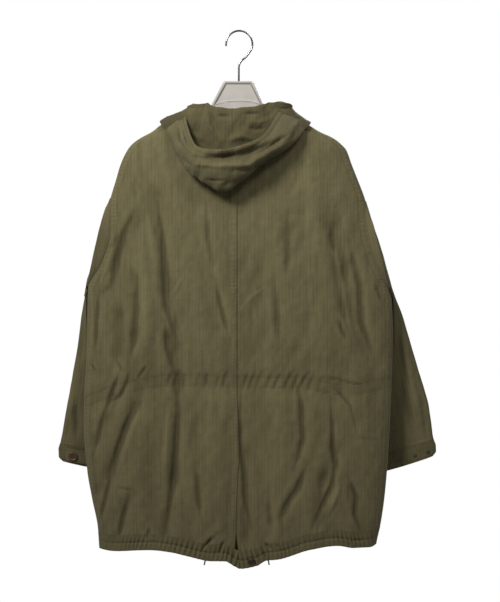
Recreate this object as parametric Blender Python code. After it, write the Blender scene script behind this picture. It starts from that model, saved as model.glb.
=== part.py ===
"""Hooded field coat of striped cotton, hanging on a plastic hanger with a metal hook.

The back of the coat faces -Y, +X is to the right of that view and +Z is up.
The origin is the inner crest of the hook, where a rail carries it.
Tables and sizes are in millimetres, and each mesh is made in metres.
"""

import math

import bpy
import numpy as np

MM = 0.001
LEFT, RIGHT = -1, 1
BACK, FRONT = -1, 1

# Cloth and seams
CLOTH = 1.8
CUFF_CLOTH = 2.6
CASING_CLOTH = 2.4
STRAP_CLOTH = 1.6
SEAM_GAP = 0.3
STRAP_LIFT = 0.6
BUTTON_LIFT = 0.6
STRAP_BUTTON_LIFT = 0.4
TACK_LIFT = 0.1
SLEEVE_CLEARANCE = 6.7
HOOD_CLEARANCE = 4.5

# Body of the coat
CENTRE_X = -4.0
ROUNDNESS = 2.8
NECK_LEVEL = -162.0
NECK_FADE = 180.0
NECK_DROP = {BACK: 15.0, FRONT: 73.0}
SKIRT_LEVEL = -850.0
HEM_LEVEL = -1064.0
ARMHOLE_HALF = 26.0
ARMHOLE_STEPS = 9
ARMHOLE_EASE = 3.8
ARMHOLE_INSET = 1.35
ARMHOLE_TOP = {LEFT: -341.0, RIGHT: -347.0}
ARMHOLE_FOOT = {LEFT: -525.0, RIGHT: -531.0}
BACK_COLUMNS = 14
FRONT_COLUMNS = 10
CASING_STEPS = 3
CASING_TOP = -1030.0
SHOULDER_ROWS = (-162, -177, -193, -205, -218, -230, -242, -262, -286, -312)
SKIRT_ROWS = (-552, -584, -620, -655, -684, -700, -714, -730, -760, -800, -845, -890, -935, -975, -1008, -1030)

TORSO_SECTIONS = (
    # height, left edge, right edge, back depth, front depth
    (-162, -101, 102, 30, 34),
    (-177, -130, 122, 30, 33),
    (-193, -163, 145, 30, 32),
    (-205, -178, 164, 30, 31),
    (-218, -202, 192, 30, 30),
    (-230, -219, 208, 30, 30),
    (-242, -229, 219, 31, 30),
    (-271, -243, 230, 32, 30),
    (-304, -253, 243, 34, 31),
    (-341, -264, 257, 36, 32),
    (-371, -271, 265, 37, 33),
    (-427, -284, 282, 39, 33),
    (-480, -296, 294, 40, 34),
    (-525, -310, 305, 41, 34),
    (-550, -311, 312, 41, 34),
    (-620, -312, 315, 41, 34),
    (-700, -315, 313, 38, 32),
    (-730, -317, 312, 39, 33),
    (-796, -319, 309, 43, 36),
    (-898, -312, 303, 46, 38),
    (-960, -302, 298, 47, 39),
    (-1023, -290, 290, 46, 39),
    (-1064, -287, 281, 44, 38),
    (-1100, -285, 276, 43, 37),
)
CENTRE_SEAM = (
    # height, place of the seam, half opening of the vent
    (-150, -4, 0),
    (-712, -4, 0),
    (-866, 1, 0),
    (-900, -2, 0),
    (-995, -6, 0),
    (-1012, -6, 1.5),
    (-1030, -5, 4.0),
    (-1064, 4, 4.0),
)
HEM_LINE = (
    # across, height of the back hem
    (-290, -1056),
    (-257, -1060),
    (-182, -1056),
    (-140, -1060),
    (-99, -1069),
    (-55, -1078),
    (-29, -1078),
    (-10, -1088),
    (2, -1093),
    (36, -1087),
    (54, -1077),
    (80, -1074),
    (145, -1055),
    (200, -1048),
    (234, -1053),
    (265, -1053),
    (285, -1046),
)
FRONT_HEM_LINE = (
    # across, height of the front hem
    (-290, -1056),
    (-200, -1047),
    (0, -1040),
    (200, -1041),
    (285, -1046),
)
WAIST_LINE = (
    # across, height of the drawn waist
    (-310, -745),
    (-247, -722),
    (-140, -704),
    (0, -706),
    (117, -708),
    (220, -722),
    (310, -706),
)
BACK_FOLDS = (
    # from across, from height, to across, to height, width, relief
    (-217, -398, -259, -511, 20, -5.0),
    (-170, -347, -152, -511, 20, -4.0),
    (-152, -511, -130, -637, 18, -4.0),
    (-190, -420, -196, -640, 26, 4.0),
    (-213, -511, -213, -619, 14, -4.0),
    (-245, -582, -249, -655, 13, -4.0),
    (-136, -631, -126, -716, 12, -4.0),
    (-126, -716, -133, -914, 13, -4.5),
    (-133, -914, -152, -1028, 13, -4.5),
    (-257, -756, -290, -829, 14, -4.0),
    (-219, -770, -257, -886, 17, -6.0),
    (-257, -886, -278, -928, 14, -4.0),
    (-195, -800, -235, -940, 20, 4.0),
    (-227, -953, -257, -1050, 14, -4.0),
    (-70, -380, -80, -680, 34, 3.0),
    (80, -340, 70, -660, 36, 3.0),
    (150, -330, 170, -640, 30, 3.5),
    (188, -402, 210, -493, 20, -5.0),
    (210, -493, 220, -564, 18, -5.0),
    (220, -564, 249, -637, 18, -4.0),
    (194, -857, 172, -914, 15, -4.5),
    (172, -914, 160, -997, 15, -4.5),
    (230, -942, 249, -1028, 15, -4.0),
    (-60, -760, -70, -1000, 30, 4.0),
    (90, -760, 84, -1000, 34, 4.0),
    (14, -860, 12, -1000, 10, -3.5),
)
WAIST_REACH = 15.0
WAIST_DRAW = 2.5
GATHER_HEIGHT = {BACK: 1.5, FRONT: 1.0}
FRONT_FOLDS = (
    # from across, from height, to across, to height, width, relief
    (-150, -300, -120, -620, 24, -4.5),
    (-190, -330, -215, -560, 20, -3.5),
    (-95, -740, -120, -1010, 24, -5.0),
    (-205, -790, -225, -1000, 20, -4.0),
    (-60, -360, -64, -660, 28, 4.0),
    (140, -320, 118, -640, 22, -5.0),
    (205, -350, 225, -590, 20, -3.5),
    (90, -740, 112, -1000, 24, -4.5),
    (190, -800, 205, -1010, 22, -4.0),
    (64, -380, 60, -650, 28, 4.0),
)

SLEEVES = {
    LEFT: (
        # outer fold across, height; inner fold across, height; outer y, inner y, half depth
        (-274, -359, -312, -529, 0, 4, 27),
        (-282, -386, -316, -544, 3, 16, 29),
        (-290, -420, -311, -558, 7, 29, 30),
        (-300, -457, -296, -577, 12, 42, 30),
        (-309, -492, -276, -600, 17, 52, 29),
        (-318, -529, -254, -625, 22, 60, 28),
        (-325, -568, -235, -652, 26, 63, 26),
        (-331, -610, -221, -682, 29, 64, 25),
        (-337, -653, -215, -715, 31, 65, 24),
        (-345, -699, -217, -751, 33, 65, 23),
        (-352, -745, -225, -786, 35, 64, 21),
        (-361, -786, -235, -820, 37, 62, 20),
        (-367, -822, -246, -847, 38, 61, 19),
        (-372, -847, -254, -868, 38, 60, 18),
    ),
    RIGHT: (
        (262, -361, 307, -535, 0, 4, 27),
        (270, -384, 311, -550, 3, 16, 29),
        (281, -416, 306, -564, 7, 29, 30),
        (294, -451, 291, -583, 12, 42, 30),
        (304, -486, 270, -606, 17, 52, 29),
        (316, -523, 250, -631, 22, 60, 28),
        (329, -562, 233, -659, 26, 63, 26),
        (343, -604, 223, -688, 29, 64, 25),
        (356, -647, 221, -721, 31, 65, 24),
        (370, -693, 227, -755, 33, 65, 23),
        (384, -739, 242, -788, 35, 64, 21),
        (394, -780, 260, -822, 37, 62, 20),
        (400, -813, 279, -851, 38, 61, 19),
        (403, -838, 290, -870, 38, 60, 18),
    ),
}
CUFFS = {
    LEFT: (
        (-373, -847.5, -254, -868.5, 38, 60, 18.4),
        (-376, -860, -257, -881, 38, 60, 19.0),
        (-375, -874, -263, -896, 38, 60, 19.0),
        (-367, -884, -269, -906, 38, 60, 18.0),
    ),
    RIGHT: (
        (403, -838.5, 290, -870.5, 38, 60, 18.4),
        (408, -852, 291, -883, 38, 60, 19.0),
        (408, -863, 294, -897, 38, 60, 19.0),
        (402, -873, 300, -908, 38, 60, 18.0),
    ),
}

HOOD_STATIONS = {
    LEFT: (
        # share of the way round; ridge x, y, z; lower fold x, y, z; rim x, y, z
        (0.00, -4, -38, -163, -4, -68, -320, -4, -86, -244),
        (0.10, -35, -38, -162, -34, -68, -333, -36, -86, -250),
        (0.18, -56, -36, -157, -70, -65, -315, -62, -82, -249),
        (0.26, -66, -31, -151, -99, -61, -297, -84, -74, -242),
        (0.33, -78, -20, -152, -122, -54, -268, -99, -60, -215),
        (0.39, -86, -6, -154, -140, -38, -230, -107, -40, -187),
        (0.46, -88, 12, -158, -156, -6, -194, -113, -10, -164),
        (0.60, -80, 34, -176, -138, 40, -208, -102, 30, -168),
        (0.82, -48, 46, -205, -78, 58, -232, -60, 52, -192),
        (1.00, -9, 42, -218, -13, 52, -228, -11, 49, -204),
    ),
    RIGHT: (
        (0.00, -4, -38, -163, -4, -68, -320, -4, -86, -244),
        (0.10, 22, -38, -161, 26, -66, -294, 22, -84, -236),
        (0.18, 46, -34, -156, 60, -62, -270, 44, -78, -224),
        (0.26, 60, -29, -149, 92, -56, -250, 58, -68, -208),
        (0.33, 70, -19, -149, 114, -48, -230, 68, -54, -190),
        (0.39, 78, -6, -151, 132, -32, -208, 78, -36, -172),
        (0.46, 84, 12, -156, 143, -4, -190, 92, -6, -155),
        (0.60, 76, 34, -176, 128, 40, -206, 90, 30, -164),
        (0.82, 42, 46, -205, 70, 58, -232, 52, 52, -192),
        (1.00, 3, 42, -218, 7, 52, -228, 5, 49, -204),
    ),
}
HOOD_ROWS = 14
POUCH_INNER_Y = 10.0
POUCH_OUTER_Y = -13.0
POUCH_OUTER_Z = -6.0

# Hanger
HOOK_RADIUS = 27.0
HOOK_WIRE = 4.0
HOOK_SEAT = 12.0
HOOK_SWEEP = 1.22 * math.pi
HOOK_TIP = (-0.5, -4.0)
BLOCK_TOP = (-1.0, -101.0)
SHANK = (
    # across, height
    (13.0, -52.5),
    (5.5, -58.5),
    (1.0, -64.5),
    (-1.0, -72.0),
)
HANGER_SECTIONS = (
    # across, top, bottom, half thickness
    (-222, -262, -284, 3.0),
    (-219, -240, -286, 6.0),
    (-205, -215, -276, 7.0),
    (-170, -195, -256, 7.0),
    (-130, -172, -236, 7.0),
    (-100, -160, -222, 7.0),
    (-75, -158, -214, 7.0),
    (-60, -154, -210, 6.5),
    (-46, -128, -206, 6.5),
    (-33, -103, -204, 6.0),
    (-30, -101, -204, 6.0),
    (-1, -101, -202, 6.0),
    (26, -101, -204, 6.0),
    (29, -103, -204, 6.0),
    (40, -128, -206, 6.5),
    (52, -154, -210, 6.5),
    (68, -158, -214, 7.0),
    (92, -160, -222, 7.0),
    (120, -172, -236, 7.0),
    (160, -195, -256, 7.0),
    (195, -215, -276, 7.0),
    (209, -240, -286, 6.0),
    (212, -262, -284, 3.0),
)
ARM_START = 74.0
HANGER_CROWN = 2.5
HANGER_CLEARANCE = 1.8

# Trim
BUTTON_PROFILE = ((0.0, 0.0), (7.4, 0.0), (9.0, 1.0), (9.0, 2.4), (7.8, 3.2), (6.4, 2.4), (0.0, 2.2))
TACK_PROFILE = ((0.0, 0.0), (3.2, 0.0), (4.0, 0.7), (3.0, 1.8), (0.0, 2.0))
SNAP_PROFILE = ((0.0, 0.0), (6.2, 0.0), (7.0, 0.8), (6.6, 2.0), (4.0, 3.0), (0.0, 3.2))
BUTTON_LEVELS = (-270, -400, -530, -660, -790, -920)
FRONT_LAP = 26.0
LAP_END = 30.0
LAP_FADE = 30.0
LAP_SINK = 2.6
FLAP_MIDDLE = 142.0
FLAP_WIDTH = 150.0
FLAP_LEVELS = (-764, -800, -836)
FLAP_LIFT = 1.9
CORD_DIAMETER = 3.0
CORD_TIPS = (
    # across, lean, inset from the casing's outer face
    (-70, -1, 6.4),
    (66, 1, 4.9),
)
CORD_LENGTH = 32.0
CORD_DROP = 9.0
CORD_LEAN = 0.2
CORD_POINTS = 7
SNAP_ACROSS = 26.0
SNAP_LIFT = 1.0

# Colours
CLOTH_COLOUR = (0.105, 0.092, 0.045)
BUTTON_COLOUR = (0.075, 0.040, 0.022)
SNAP_COLOUR = (0.045, 0.038, 0.028)
PLASTIC_COLOUR = (0.560, 0.530, 0.490)
STEEL_COLOUR = (0.300, 0.300, 0.300)


def clear_scene():
    for thing in list(bpy.data.objects):
        bpy.data.objects.remove(thing, do_unlink=True)


def through(knots, values):
    """A smooth curve through values at knots, with no overshoot between them."""
    x = np.asarray(knots, float)
    y = np.asarray(values, float)
    if x[0] > x[-1]:
        x, y = x[::-1], y[::-1]
    step = np.diff(x)
    slope = np.diff(y) / step
    tangent = np.zeros_like(y)
    before, after = slope[:-1], slope[1:]
    agree = before * after > 0
    tangent[1:-1][agree] = 2 * before[agree] * after[agree] / (before[agree] + after[agree])
    tangent[0], tangent[-1] = slope[0], slope[-1]

    def at(place):
        place = np.clip(np.asarray(place, float), x[0], x[-1])
        i = np.clip(np.searchsorted(x, place) - 1, 0, len(step) - 1)
        t = (place - x[i]) / step[i]
        start = (1 + 2 * t) * (1 - t) ** 2 * y[i] + t * (1 - t) ** 2 * step[i] * tangent[i]
        end = t * t * (3 - 2 * t) * y[i + 1] + t * t * (t - 1) * step[i] * tangent[i + 1]
        return start + end

    return at


def columns_of(table):
    """One smooth curve for each column of a table, over its first column."""
    rows = np.asarray(table, float)
    return [through(rows[:, 0], rows[:, i]) for i in range(1, rows.shape[1])]


def eased(value):
    value = np.clip(value, 0.0, 1.0)
    return value * value * (3 - 2 * value)


left_edge, right_edge, back_depth, front_depth = columns_of(TORSO_SECTIONS)
centre_seam, vent_half = columns_of(CENTRE_SEAM)
(back_hem,) = columns_of(HEM_LINE)
(front_hem,) = columns_of(FRONT_HEM_LINE)
(waist_height,) = columns_of(WAIST_LINE)


def half_width(side, z):
    return CENTRE_X - left_edge(z) if side == LEFT else right_edge(z) - CENTRE_X


def depth(face, z):
    return back_depth(z) if face == BACK else front_depth(z)


def hollow(share):
    """The other ratio of a section, from the share of its width or depth already used."""
    return np.maximum(0.0, 1 - np.abs(share) ** ROUNDNESS) ** (1 / ROUNDNESS)


def closeness(point):
    """How far a point stands outside the body of the coat, and the way out."""
    x, y, z = point
    side = LEFT if x < CENTRE_X else RIGHT
    face = BACK if y < 0 else FRONT

    def level(x, y, z):
        across = abs(x - CENTRE_X) / half_width(side, z)
        through_cloth = abs(y) / depth(face, z)
        return (across**ROUNDNESS + through_cloth**ROUNDNESS) ** (1 / ROUNDNESS)

    step = 0.05
    value = level(x, y, z)
    slope = np.array(
        (
            level(x + step, y, z) - level(x - step, y, z),
            level(x, y + step, z) - level(x, y - step, z),
            level(x, y, z + step) - level(x, y, z - step),
        )
    ) / (2 * step)
    size = np.linalg.norm(slope)
    return (value - 1) / size, slope / size


def pushed_out(points, clearance):
    """Points moved until each is clear of the body of the coat."""
    moved = points.copy()
    for index in np.ndindex(points.shape[:-1]):
        for _ in range(3):
            distance, outward = closeness(moved[index])
            if distance < clearance:
                moved[index] += (clearance - distance) * outward
    return moved


def relief_of(folds, x, z):
    """Height of soft ridges and troughs, each along a line in the view of the back or front."""
    total = np.zeros(np.broadcast(x, z).shape)
    for from_x, from_z, to_x, to_z, width, relief in folds:
        run = np.array((to_x - from_x, to_z - from_z), float)
        along = ((x - from_x) * run[0] + (z - from_z) * run[1]) / (run @ run)
        along = np.clip(along, 0.0, 1.0)
        off = np.hypot(x - from_x - along * run[0], z - from_z - along * run[1])
        total = total + relief * np.exp(-((off / width) ** 2))
    return total


def armhole_half(side, z):
    middle = (ARMHOLE_TOP[side] + ARMHOLE_FOOT[side]) / 2
    half = (ARMHOLE_TOP[side] - ARMHOLE_FOOT[side]) / 2
    return ARMHOLE_HALF * np.sqrt(np.maximum(0.0, 1 - ((z - middle) / half) ** 2))


def settled_height(face, x, z, across):
    """Real height of a point, once the neckline dips and the skirt hangs to its hem line."""
    neck = NECK_DROP[face] * (1 - across**2) ** 2 * (1 - eased((NECK_LEVEL - z) / NECK_FADE))
    hem = back_hem(x) if face == BACK else front_hem(x)
    skirt = (hem - HEM_LEVEL) * eased((SKIRT_LEVEL - z) / (SKIRT_LEVEL - HEM_LEVEL))
    return z - neck + skirt


def outward_normal(side, face, across, z):
    width, thickness = half_width(side, z), depth(face, z)
    step = 1.0
    width_slope = (half_width(side, z + step) - half_width(side, z - step)) / (2 * step)
    depth_slope = (depth(face, z + step) - depth(face, z - step)) / (2 * step)
    y_share = hollow(across)
    normal = np.stack(
        (
            side * across ** (ROUNDNESS - 1) / width,
            face * y_share ** (ROUNDNESS - 1) / thickness,
            -(across**ROUNDNESS * width_slope / width + y_share**ROUNDNESS * depth_slope / thickness),
        ),
        axis=-1,
    )
    return normal / np.linalg.norm(normal, axis=-1, keepdims=True)


def torso_surface(side, face, x, z, relief):
    """Outer point and normal of the coat's body at one place across and one level."""
    across = np.clip(np.abs(x - CENTRE_X) / half_width(side, z), 0.0, 1.0)
    y = face * depth(face, z) * hollow(across)
    normal = outward_normal(side, face, across, z)
    height = settled_height(face, x, z, across)
    calm = (1 - across**8) * eased((NECK_LEVEL - 60 - z) / 80)
    point = np.stack((x, y, height), axis=-1) + normal * (relief * calm)[..., None]
    return point, normal


def panel_levels(side, bottom_rows):
    angle = np.pi * np.arange(ARMHOLE_STEPS + 1) / ARMHOLE_STEPS
    top, foot = ARMHOLE_TOP[side], ARMHOLE_FOOT[side]
    armhole = top + (foot - top) * (1 - np.cos(angle)) / 2
    return np.concatenate((SHOULDER_ROWS, armhole, bottom_rows))


def mesh_object(name, points, faces, colour, roughness=0.9, metallic=0.0):
    """A closed mesh with its faces turned outwards, with its own material."""
    corners = np.asarray(points, float) * MM
    volume = 0.0
    for face in faces:
        for i in range(1, len(face) - 1):
            volume += np.dot(corners[face[0]], np.cross(corners[face[i]], corners[face[i + 1]]))
    if volume < 0:
        faces = [face[::-1] for face in faces]
    mesh = bpy.data.meshes.new(name)
    mesh.from_pydata([tuple(corner) for corner in corners], [], [tuple(face) for face in faces])
    mesh.update()
    mesh.shade_smooth()
    mesh.set_sharp_from_angle(angle=math.radians(50))
    piece = bpy.data.objects.new(name, mesh)
    bpy.context.scene.collection.objects.link(piece)
    give_material(piece, colour, roughness, metallic)
    return piece


def give_material(piece, colour, roughness, metallic):
    material = bpy.data.materials.new(piece.name + "_finish")
    material.use_nodes = True
    shader = material.node_tree.nodes["Principled BSDF"]
    shader.inputs["Base Color"].default_value = (*colour, 1.0)
    shader.inputs["Roughness"].default_value = roughness
    shader.inputs["Metallic"].default_value = metallic
    piece.data.materials.append(material)


def cloth_wall(name, outer, inner, ring, colour=CLOTH_COLOUR):
    """A wall between two grids of points, closed round its edges. A ring joins its last column to its first."""
    rows, columns = outer.shape[:2]
    points = np.concatenate((outer.reshape(-1, 3), inner.reshape(-1, 3)))
    under = rows * columns
    faces = []
    spans = columns if ring else columns - 1
    for r in range(rows - 1):
        for c in range(spans):
            d = (c + 1) % columns
            quad = (r * columns + c, r * columns + d, (r + 1) * columns + d, (r + 1) * columns + c)
            faces.append(quad)
            faces.append(tuple(under + corner for corner in reversed(quad)))
    for c in range(spans):
        d = (c + 1) % columns
        last = (rows - 1) * columns
        faces.append((d, c, under + c, under + d))
        faces.append((last + c, last + d, under + last + d, under + last + c))
    if not ring:
        for r in range(rows - 1):
            a, b = r * columns, (r + 1) * columns
            faces.append((a, b, under + b, under + a))
            e, f = a + columns - 1, b + columns - 1
            faces.append((f, e, under + e, under + f))
    return mesh_object(name, points, faces, colour)


def grid_normals(grid, ring):
    """Normals of a grid of points, from the directions along its rows and columns."""
    if ring:
        along = np.roll(grid, -1, axis=1) - np.roll(grid, 1, axis=1)
    else:
        along = np.gradient(grid, axis=1)
    down = np.gradient(grid, axis=0)
    normal = np.cross(along, down)
    return normal / np.maximum(np.linalg.norm(normal, axis=-1, keepdims=True), 1e-9)


def gathers(face, x, z, columns):
    """Small drawn-in gathers at the waist, one to each pair of columns."""
    swing = np.where(np.arange(columns) % 2 == 0, 1.0, -1.0)
    near = np.exp(-(((z - waist_height(x)) / WAIST_REACH) ** 2))
    uneven = 0.7 + 0.3 * np.sin(np.arange(columns) * 2.3)
    return -WAIST_DRAW * near + GATHER_HEIGHT[face] * near * swing * uneven


def build_panel(name, side, face):
    """A back or front panel, from its centre edge to its shoulder, armhole and side seam."""
    columns = BACK_COLUMNS if face == BACK else FRONT_COLUMNS
    z = panel_levels(side, SKIRT_ROWS if face == BACK else SKIRT_ROWS + (HEM_LEVEL,))[:, None]
    gap = np.maximum(armhole_half(side, z), SEAM_GAP / 2)
    edge_share = hollow(gap / depth(face, z))
    outer_x = CENTRE_X + side * half_width(side, z) * edge_share
    if face == BACK:
        inner_x = centre_seam(z) + side * (vent_half(z) + SEAM_GAP / 2)
    else:
        inner_x = np.full_like(z, CENTRE_X - side * FRONT_LAP)
    x = inner_x + (outer_x - inner_x) * spread(columns)
    if face == FRONT:
        beyond = CENTRE_X + side * LAP_END
        past = beyond + (outer_x - beyond) * spread(columns - 2)
        x = np.concatenate((inner_x, np.full_like(z, CENTRE_X), past), axis=1)
    z = np.broadcast_to(z, x.shape)
    relief = relief_of(BACK_FOLDS if face == BACK else FRONT_FOLDS, x, z)
    relief = relief + gathers(face, x, z, columns + 1)
    if face == FRONT:
        relief = relief * eased((np.abs(x - CENTRE_X) - LAP_END) / LAP_FADE)
    outer, normal = torso_points(side, face, x, z, relief)
    if face == FRONT and side == RIGHT:
        lap = eased((CENTRE_X + LAP_END + LAP_FADE - x) / LAP_FADE)
        outer = outer - normal * (LAP_SINK * lap)[..., None]
    cloth_wall(name, outer, outer - CLOTH * normal, ring=False)
    panels[side, face] = Panel(x, z, outer, normal)


def spread(columns):
    """Shares of a panel's width for its columns, closer together towards the side."""
    return np.sin(np.pi / 2 * np.arange(columns + 1) / columns) ** 0.9


class Panel:
    """The grid of a body panel, on which other pieces lie."""

    def __init__(self, x, z, outer, normal):
        self.x, self.z, self.outer, self.normal = x, z, outer, normal

    def place(self, x, level):
        """Point and normal of the panel's outer face, between its grid points."""
        row = np.interp(-level, -self.z[:, 0], np.arange(len(self.z)))
        top = min(int(row), len(self.z) - 2)
        found = []
        for grid in (self.outer, self.normal):
            ends = []
            for r in (top, top + 1):
                order = np.argsort(self.x[r])
                ends.append([np.interp(x, self.x[r][order], grid[r][order, i]) for i in range(3)])
            found.append(np.array(ends[0]) * (1 - row + top) + np.array(ends[1]) * (row - top))
        return found[0], found[1] / np.linalg.norm(found[1])

    def patch(self, across, levels, lift, cloth):
        """Outer and inner points of a piece that lies on the panel."""
        outer, inner = [], []
        for level in levels:
            places = [self.place(x, level) for x in across]
            inner.append([point + normal * lift for point, normal in places])
            outer.append([point + normal * (lift + cloth) for point, normal in places])
        return np.array(outer), np.array(inner)


panels = {}


def torso_points(side, face, x, z, relief):
    """As torso_surface, where the front lap crosses the centre line to the other side."""
    own, own_normal = torso_surface(side, face, x, z, relief)
    other, other_normal = torso_surface(-side, face, x, z, relief)
    crossed = ((x - CENTRE_X) * side < 0)[..., None]
    return np.where(crossed, other, own), np.where(crossed, other_normal, own_normal)


def build_hem_casing():
    """The gathered tunnel along the back hem, one strip from side seam to side seam."""
    left, right = panels[LEFT, BACK], panels[RIGHT, BACK]
    edge = np.concatenate((left.outer[-1][::-1], right.outer[-1]))
    out = np.concatenate((left.normal[-1][::-1], right.normal[-1]))
    spans = np.arange(len(edge))
    fine = np.linspace(0, len(edge) - 1, (len(edge) - 1) * CASING_STEPS + 1)
    top = np.stack([np.interp(fine, spans, edge[:, i]) for i in range(3)], axis=-1)
    normal = np.stack([np.interp(fine, spans, out[:, i]) for i in range(3)], axis=-1)
    normal = normal / np.linalg.norm(normal, axis=-1, keepdims=True)
    top[:, 2] -= SEAM_GAP
    x = top[:, 0]
    side_width = np.where(x < CENTRE_X, half_width(LEFT, HEM_LEVEL) / half_width(LEFT, CASING_TOP),
                          half_width(RIGHT, HEM_LEVEL) / half_width(RIGHT, CASING_TOP))
    low_x = CENTRE_X + (x - CENTRE_X) * side_width
    count = np.arange(len(x))
    wave = np.sin(count * np.pi / 2 + 0.9 * np.sin(count * 0.37))
    uneven = (0.35 + 0.65 * np.exp(-((x / 120) ** 2))) * (1 + 0.35 * np.sin(count * 0.9))
    calm = np.clip(np.minimum(x - x[0], x[-1] - x) / 20, 0, 1)
    ripple = 2.0 * wave * uneven * calm
    outer, inner = [top], [top - CLOTH * normal]
    for share, swell in ((0.4, 0.9), (0.75, 1.0), (1.0, 0.6)):
        row = top.copy()
        row[:, 0] += (low_x - x) * share
        row[:, 2] += (back_hem(low_x) - top[:, 2]) * share
        row = row + normal * (swell * (ripple + 0.6))[:, None]
        outer.append(row)
        inner.append(row - CASING_CLOTH * normal)
    cloth_wall("hem_casing", np.array(outer), np.array(inner), ring=False)
    return outer[2], normal


def ring_angles():
    return np.pi * np.arange(2 * ARMHOLE_STEPS) / ARMHOLE_STEPS


def armhole_ring(side):
    """First ring of a sleeve: the edge of the armhole, one seam gap inside it."""
    angle = ring_angles()
    top = ARMHOLE_TOP[side] - ARMHOLE_EASE
    foot = ARMHOLE_FOOT[side] + ARMHOLE_EASE
    z = top + (foot - top) * (1 - np.cos(angle)) / 2
    opening = np.maximum(armhole_half(side, z) - ARMHOLE_INSET, 0.0)
    points, normals = [], []
    for level, wide, swing in zip(z, opening, np.sin(angle)):
        face = BACK if swing >= 0 else FRONT
        share = float(hollow(wide / depth(face, level)))
        x = CENTRE_X + side * half_width(side, level) * share
        point, normal = torso_surface(side, face, np.array([x]), np.array([level]), np.zeros(1))
        points.append(point[0])
        normals.append(normal[0])
    return np.array(points), np.array(normals)


def tube_ring(row):
    """A flattened ring between the outer and the inner fold of a sleeve."""
    outer_x, outer_z, inner_x, inner_z, outer_y, inner_y, half_depth = row
    angle = ring_angles()
    share = (1 - np.cos(angle)) / 2
    return np.stack(
        (
            outer_x + (inner_x - outer_x) * share,
            outer_y + (inner_y - outer_y) * share - half_depth * np.sin(angle),
            outer_z + (inner_z - outer_z) * share,
        ),
        axis=-1,
    )


SLEEVE_FOLDS = {
    LEFT: (
        # row of the sleeve where the fold lies deepest, rows it spans, place round the ring, relief
        (4.0, 1.6, 1.2, 4.0),
        (7.0, 2.2, 2.6, -3.0),
        (10.5, 2.0, 1.4, -3.0),
    ),
    RIGHT: (
        (4.5, 1.8, 1.1, 4.0),
        (7.5, 2.0, 2.4, -3.0),
        (10.5, 2.4, 1.6, -3.5),
    ),
}


def build_sleeve(side, word):
    first, first_normals = armhole_ring(side)
    rings = np.array([tube_ring(row) for row in SLEEVES[side]])
    rings[:1] = pushed_out(rings[:1], SLEEVE_CLEARANCE * 0.8)
    rings[1:8] = pushed_out(rings[1:8], SLEEVE_CLEARANCE)
    grid = np.concatenate((first[None], rings))
    normals = grid_normals(grid, ring=True)
    middle = grid.mean(axis=1, keepdims=True)
    if np.sum((grid - middle) * normals) < 0:
        normals = -normals
    normals[0] = first_normals
    angle = ring_angles()
    for row, rows, place, relief in SLEEVE_FOLDS[side]:
        reach = np.exp(-(((np.arange(len(grid)) - row) / rows) ** 2))[:, None]
        grid = grid + normals * (reach * np.exp(-(((angle - place) / 0.45) ** 2)) * relief)[..., None]
    cloth_wall("sleeve_" + word, grid, grid - CLOTH * normals, ring=True)


def cuff_grid(side):
    grid = np.array([tube_ring(row) for row in CUFFS[side]])
    normals = grid_normals(grid, ring=True)
    middle = grid.mean(axis=1, keepdims=True)
    if np.sum((grid - middle) * normals) < 0:
        normals = -normals
    return grid, normals


def build_cuff(side, word):
    grid, normals = cuff_grid(side)
    cloth_wall("cuff_" + word, grid, grid - CUFF_CLOTH * normals, ring=True)


def cuff_place(side, turn, down):
    """A point on a cuff and its normal, from the angle round it and the share of its height."""
    row = np.asarray(CUFFS[side], float)
    levels = np.linspace(0, 1, len(row))
    mixed = [np.interp(down, levels, row[:, i]) for i in range(row.shape[1])]
    outer_x, outer_z, inner_x, inner_z, outer_y, inner_y, half_depth = mixed
    share = (1 - math.cos(turn)) / 2
    point = np.array(
        (
            outer_x + (inner_x - outer_x) * share,
            outer_y + (inner_y - outer_y) * share - half_depth * math.sin(turn),
            outer_z + (inner_z - outer_z) * share,
        )
    )
    width = np.array((inner_x - outer_x, inner_y - outer_y, inner_z - outer_z)) / 2
    along = width * math.sin(turn) + np.array((0, -half_depth * math.cos(turn), 0))
    down_way = np.array((outer_x - inner_x, 0, outer_z - inner_z))
    down_way = np.array((-down_way[2], 0, down_way[0])) * side
    normal = np.cross(along, down_way)
    normal = normal / np.linalg.norm(normal)
    outward = point - np.array(((outer_x + inner_x) / 2, (outer_y + inner_y) / 2, point[2]))
    return point, normal if normal @ outward > 0 else -normal


def build_cuff_strap():
    """The buttoned end of the left cuff, lying on the cuff."""
    turns = np.linspace(0.74, 2.35, 8)
    outer, inner = [], []
    for down, start in ((0.16, 0.05), (0.5, 0.0), (0.84, 0.05)):
        row_out, row_in = [], []
        for number, turn in enumerate(turns):
            at = turn + (start if number == 0 else 0.0)
            point, normal = cuff_place(LEFT, at, down)
            row_in.append(point + normal * STRAP_LIFT)
            row_out.append(point + normal * (STRAP_LIFT + STRAP_CLOTH))
        outer.append(row_out)
        inner.append(row_in)
    cloth_wall("cuff_strap_left", np.array(outer), np.array(inner), ring=False)


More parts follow.
